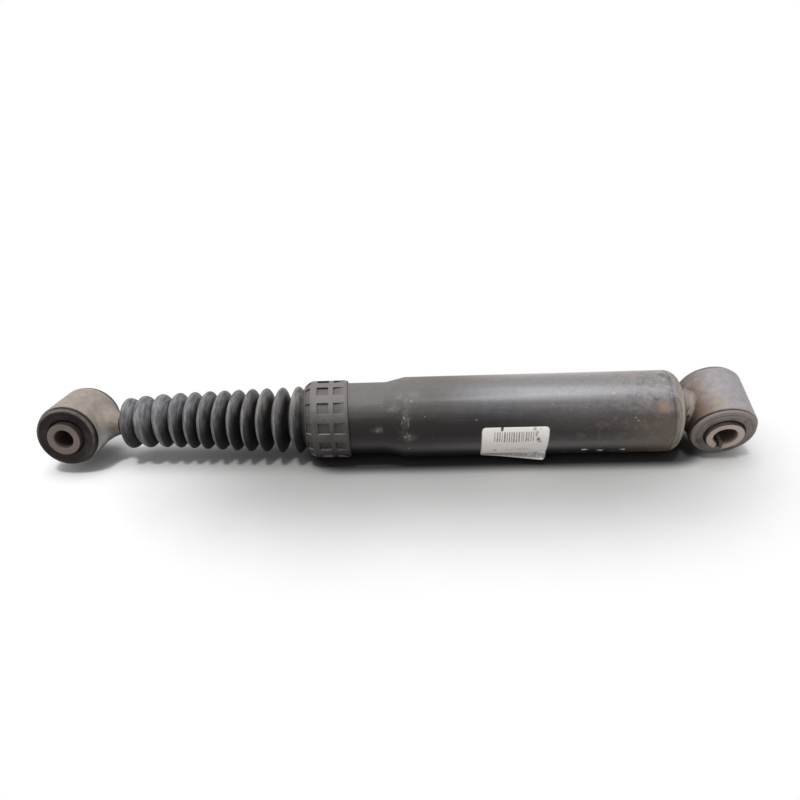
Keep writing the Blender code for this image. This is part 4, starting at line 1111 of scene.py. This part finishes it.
def sticker_line(share):
    """Points (y, z) down the sticker at a share of its width, with the loose lower edge."""
    radius = TUBE_R + 0.01 * MM
    heading = STICKER_TOP
    point = Vector((-radius * cos(heading), radius * sin(heading)))
    stuck = (25.5 - 5.2 * share ** 0.8) * MM
    stride = STICKER_LONG * MM / STICKER_ROWS
    points = [point.copy()]
    for number in range(1, STICKER_ROWS + 1):
        loose = (number - 0.5) * stride - stuck
        curl = radians(46 * share + 8) * stride / CURL * 2 * unit(1 - loose / CURL)
        free = unit(loose / stride + 0.5)
        turn = curl * free - stride / radius * (1 - free)
        middle = heading + turn / 2
        point += Vector((-sin(middle), -cos(middle))) * stride
        heading += turn
        points.append(point.copy())
    return points


def notched(share, down_share):
    """Whether a place on the sheet lies in the notch of its top edge."""
    depth = down_share * STICKER_LONG
    return depth < NOTCH_DEEP and abs(share * STICKER_WIDE - NOTCH_X + 0.4 * depth) < 0.75 - 0.3 * depth


def drop_loose(bm):
    """Delete the vertices that no face uses."""
    loose = [vert for vert in bm.verts if not vert.link_faces]
    bmesh.ops.delete(bm, geom=loose, context="VERTS")


def sticker_sheet():
    bm = bmesh.new()
    uv = bm.loops.layers.uv.new("sheet")
    grid, uv_of = [], {}
    for column in range(STICKER_COLUMNS + 1):
        share = column / STICKER_COLUMNS
        x = (STICKER_LEFT + STICKER_WIDE * share) * MM
        inset = max(CORNER - STICKER_WIDE * share, STICKER_WIDE * (share - 1) + CORNER, 0)
        cut = (CORNER - sqrt(max(CORNER ** 2 - inset ** 2, 0))) / STICKER_LONG
        walk = sticker_line(share)
        line = []
        for row in range(STICKER_ROWS + 1):
            down_share = cut + (1 - 2 * cut) * row / STICKER_ROWS
            first = min(int(down_share * STICKER_ROWS), STICKER_ROWS - 1)
            y, z = walk[first].lerp(walk[first + 1], down_share * STICKER_ROWS - first)
            left = x - 0.7 * MM * down_share * (1 - share) - 1.6 * MM * down_share ** 2 * share
            vert = bm.verts.new((left, y, z + axis_z))
            uv_of[vert] = (share, down_share)
            line.append(vert)
        grid.append(line)
    for line, after in zip(grid, grid[1:]):
        for row in range(STICKER_ROWS):
            if notched(*uv_of[line[row]]):
                continue
            for loop in bm.faces.new((line[row], line[row + 1], after[row + 1], after[row])).loops:
                loop[uv].uv = uv_of[loop.vert]
    drop_loose(bm)
    sheet = settle("paper_sticker", bm)
    thickness = sheet.modifiers.new("paper", "SOLIDIFY")
    thickness.thickness = 0.05 * MM
    thickness.offset = 1
    return sheet


wear(sticker_sheet(), paper, "body", "black_paint")

# %% [markdown]
# ## Inside the tube
# The valves, seals and guides never see daylight, but a reusable part may be cut open or taken apart, so
# they get real finishes too: oily turned steel with rings from the lathe, porous sintered iron, bronze,
# hard chrome on the rod, with dirt on the end that is out in the open, and plain moulded plastic. Most of
# their solids have the right shape and stay, so only the material in their slots is changed.

# %% Finishes of the inner pieces
def turned_metal(name, dark, light, rough, ring_share, metallic, soiled_below=-1):
    """Metal with lathe rings that follow the radius and X; dirt covers it below an X."""
    material, place = new_finish(name)
    x, radius, _ = round_axis(place)
    rings = grain(together(radius, x), 3200, 2, 0.5)
    cloud = grain(place, 130, 4, 0.6)
    pores = step(grain(place, 1500, 2, 0.5), 0.6, 0.7)
    soil = step(x + sway(cloud, 2 * MM), soiled_below + 1 * MM, soiled_below - 1 * MM)
    colour = coats(
        mix(step(rings * ring_share + cloud * (1 - ring_share), 0.35, 0.65), dark, light),
        (pores * (1 - ring_share) * 0.7, (0.04, 0.038, 0.036)),
        (soil * 0.95, mix(cloud, (0.055, 0.038, 0.03), (0.15, 0.11, 0.085))),
    )
    roughness = rough + cloud * 0.12 + rings * 0.06 + soil * 0.4
    relief = rings * ring_share - pores * (1 - ring_share)
    return complete(material, colour, roughness, (1 - soil) * metallic, relief, 0.03 * MM)


INNER_FINISHES = {
    "plain_steel": ("oily_turned_steel", (0.33, 0.325, 0.32), (0.45, 0.445, 0.44), 0.28, 0.8, 1),
    "sintered_iron": ("sintered_grey_iron", (0.15, 0.148, 0.15), (0.24, 0.238, 0.24), 0.48, 0.25, 0.8),
    "bearing_bronze": ("guide_bronze", (0.46, 0.29, 0.14), (0.58, 0.39, 0.2), 0.33, 0.7, 1),
    "bright_steel": ("rod_hard_chrome", (0.47, 0.465, 0.46), (0.58, 0.578, 0.575), 0.16, 0.9, 1,
                     -169.5 * MM),
    "dark_plastic": ("moulded_inner_plastic", (0.05, 0.047, 0.044), (0.085, 0.08, 0.075), 0.5, 0.3, 0),
}

# %% Finishes on the solids that stay
finish_of_slot = {slot: turned_metal(*values) for slot, values in INNER_FINISHES.items()}
finish_of_slot["weathered_steel"] = base_steel
dressed = 0
for entry in frame["record"]["subparts"]:
    node = frame["nodes"][entry["node"]]
    if entry["material_slot"] in finish_of_slot:
        for slot in node.material_slots:
            slot.material = finish_of_slot[entry["material_slot"]]
        dressed += 1
print("solids with a finish:", dressed)

# %% [markdown]
# ## Seals
# The two seals at the guide are made again as what they are. The ring seal is a true round cord, and the
# lip seal has a lip that reaches in to the rod. Each is a lathe between the sizes of its solid.

# %% Seals
SEAL_SEGMENTS = 64


def ring_size(node):
    """First and last X, bore radius and outer radius of a round solid."""
    places = [vertex.co for vertex in frame["nodes"][node].data.vertices]
    radii = [hypot(place.y, place.z - axis_z) for place in places]
    return min(place.x for place in places), max(place.x for place in places), min(radii), max(radii)


start, end, bore, outer = ring_size("guide_o_ring")
corner = 0.48 * min(end - start, outer - bore)
cord = plain_ring(start, end, bore, outer, corner, corner, 6)
wear(lathe("guide_ring_seal", cord, damper_axis, SEAL_SEGMENTS), upper_rubber, "body", "rubber",
     "guide_o_ring")
start, end, bore, outer = ring_size("rod_seal")
deep = end - start
lip = rounded([(start, bore + 0.8 * MM, 0.2 * MM), (start, outer, 0.4 * MM), (end, outer, 0.4 * MM),
               (end, bore + 1.6 * MM, 0.2 * MM), (end - 0.3 * deep, bore + 1.2 * MM, 0.2 * MM),
               (end - 0.1 * deep, bore, 0.1 * MM), (start + 0.3 * deep, bore, 0.2 * MM)], 4)
wear(lathe("rod_lip_seal", lip, damper_axis, SEAL_SEGMENTS), upper_rubber, "body", "rubber", "rod_seal")

# %% [markdown]
# ## Star springs
# A thin star spring holds each check disc on its seat, and gives when the oil lifts the disc. A rigid
# one would be cut through by its disc, so each is made again as a sheet with six fingers round a
# clamped ring.

# %% Star springs
SPRING_SHEET = 0.4 * MM
SPRING_BEND = 9.4 * MM
FINGER_GAP = 4 * MM
FINGERS, ACROSS, BENT_ROWS = 6, 8, 8


def star_spring(name, node, body):
    start, end, bore, outer = ring_size(node)
    ring_r = bore + 1.2 * MM
    rows = [bore, ring_r, (ring_r + SPRING_BEND) / 2, SPRING_BEND]
    rows += [SPRING_BEND + (outer - SPRING_BEND) * part / BENT_ROWS for part in range(1, BENT_ROWS + 1)]
    bm = bmesh.new()
    grid = []
    for finger in range(FINGERS):
        for column in range(ACROSS + 2):
            line = []
            for radius in rows:
                gap = asin(FINGER_GAP / 2 / max(radius, ring_r))
                share = column / ACROSS if column <= ACROSS else 1
                angle = tau * finger / FINGERS + gap + (tau / FINGERS - 2 * gap) * share
                if column > ACROSS:
                    angle += gap
                bent = max(0, (radius - SPRING_BEND) / (outer - SPRING_BEND))
                x = start + (end - SPRING_SHEET - start) * bent
                line.append([bm.verts.new(damper_axis @ ring_point(x + side, radius, angle + pi / 2))
                             for side in (0, SPRING_SHEET)])
            grid.append(line)
    for index, (line, after) in enumerate(zip(grid, grid[1:] + grid[:1])):
        column = index % (ACROSS + 2)
        last = len(rows) - 1 if column < ACROSS else 1
        for row in range(last):
            for side in (0, 1):
                bm.faces.new((line[row][side], line[row + 1][side],
                              after[row + 1][side], after[row][side]))
        for row in (0, last):
            bm.faces.new((line[row][0], line[row][1], after[row][1], after[row][0]))
        if column in (0, ACROSS):
            for row in range(1, len(rows) - 1):
                bm.faces.new((line[row][0], line[row + 1][0], line[row + 1][1], line[row][1]))
    drop_loose(bm)
    spring = wear(settle(name, bm), finish_of_slot["plain_steel"], body, "plain_steel", node)
    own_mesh(spring)


star_spring("piston_star_spring_sheet", "piston_star_spring", "rod")
star_spring("base_star_spring_sheet", "base_star_spring", "body")

# %% [markdown]
# ## Table and light
# The photograph is bright and soft: a wide light overhead, a window at the front, pale walls all round
# and a pale table. Two sun lamps stand for the ceiling and the window, and the world for the walls, with
# a little more from the left and the front. Far from the damper the table fades to plain white for what
# the camera and reflections see, so it has no horizon. Near the damper it is an ordinary surface that
# keeps the shadow, with painted shade that greys it there and a painted dark contact shadow under the tube.

# %% Table
TABLE_HALF = 9
corners = [(-TABLE_HALF, -TABLE_HALF, 0), (TABLE_HALF, -TABLE_HALF, 0),
           (TABLE_HALF, TABLE_HALF, 0), (-TABLE_HALF, TABLE_HALF, 0)]
floor_mesh = bpy.data.meshes.new("table")
floor_mesh.from_pydata(corners, [], [(0, 1, 2, 3)])
floor = add_object("table", floor_mesh)


def seen_by_camera(field):
    """1 for camera, glossy and transmission rays, and 0 for the rest."""
    path = field.node("LightPath").socket.node.outputs
    return most(*[Field(path[f"Is {kind} Ray"]) for kind in ("Camera", "Glossy", "Transmission")])


def pale_table():
    material, place = new_finish("pale_table")
    tree = material.node_tree
    x, y, _ = apart(place)

    def away_from(middle, half):
        """Distance from a line along the damper."""
        beyond = x.math("MAXIMUM", abs(x - middle) - half)
        return (beyond ** 2 + y ** 2) ** 0.5

    # Painted shade: the table is greyer near the damper.
    near = step(away_from(0.045, 0.075) + sway(grain(place, 9, 3), 0.03), 0.17, 0.03)
    # Painted shadow: a dark contact shadow under the tube.
    under = step(away_from(0.072, 0.1), 0.03, 0.018) * 0.9
    far = most(step(away_from(-0.02, 0.16), 0.045, 0.19), step(y, 0.03, 0.08)) * seen_by_camera(place)
    colour = mix(near, (0.9, 0.9, 0.9), (0.4, 0.397, 0.394))
    complete(material, mix(under, colour, (0.03, 0.03, 0.03)), 0.8, specular=0)
    white = tree.nodes.new("ShaderNodeEmission")
    blend = tree.nodes.new("ShaderNodeMixShader")
    tree.links.new(far.socket, blend.inputs[0])
    tree.links.new(tree.nodes["Principled BSDF"].outputs[0], blend.inputs[1])
    tree.links.new(white.outputs[0], blend.inputs[2])
    tree.links.new(blend.outputs[0], tree.nodes["Material Output"].inputs["Surface"])
    return material


floor_mesh.materials.append(pale_table())

# %% World and lamps
world = bpy.data.worlds.new("studio")
scene.world = world
world.use_nodes = True
backdrop = world.node_tree.nodes["Background"]
toward = Field(world.node_tree.nodes.new("ShaderNodeTexCoord").outputs["Generated"])
side, front, height = apart(toward)
ambient = 0.21 + height.math("MAXIMUM", height) * 0.44 - side * 0.16 - front * 0.06
seen = seen_by_camera(toward)
strength = ambient * (1 - seen) + seen
world.node_tree.links.new(strength.socket, backdrop.inputs["Strength"])
backdrop.inputs["Color"].default_value = (1, 1, 1, 1)

for name, energy, spread, aim, colour in (
        ("ceiling_light", 1.15, 40, (0.02, -0.01, -1), (0.96, 0.975, 1)),
        ("window_light", 1.2, 8, (0.06, 0.29, -0.955), (1, 0.985, 0.965))):
    data = bpy.data.lights.new(name, "SUN")
    data.energy = energy
    data.angle = radians(spread)
    data.color = colour
    lamp = add_object(name, data)
    lamp.rotation_euler = Vector(aim).to_track_quat("-Z", "Y").to_euler()
    print("lamp", name, energy)
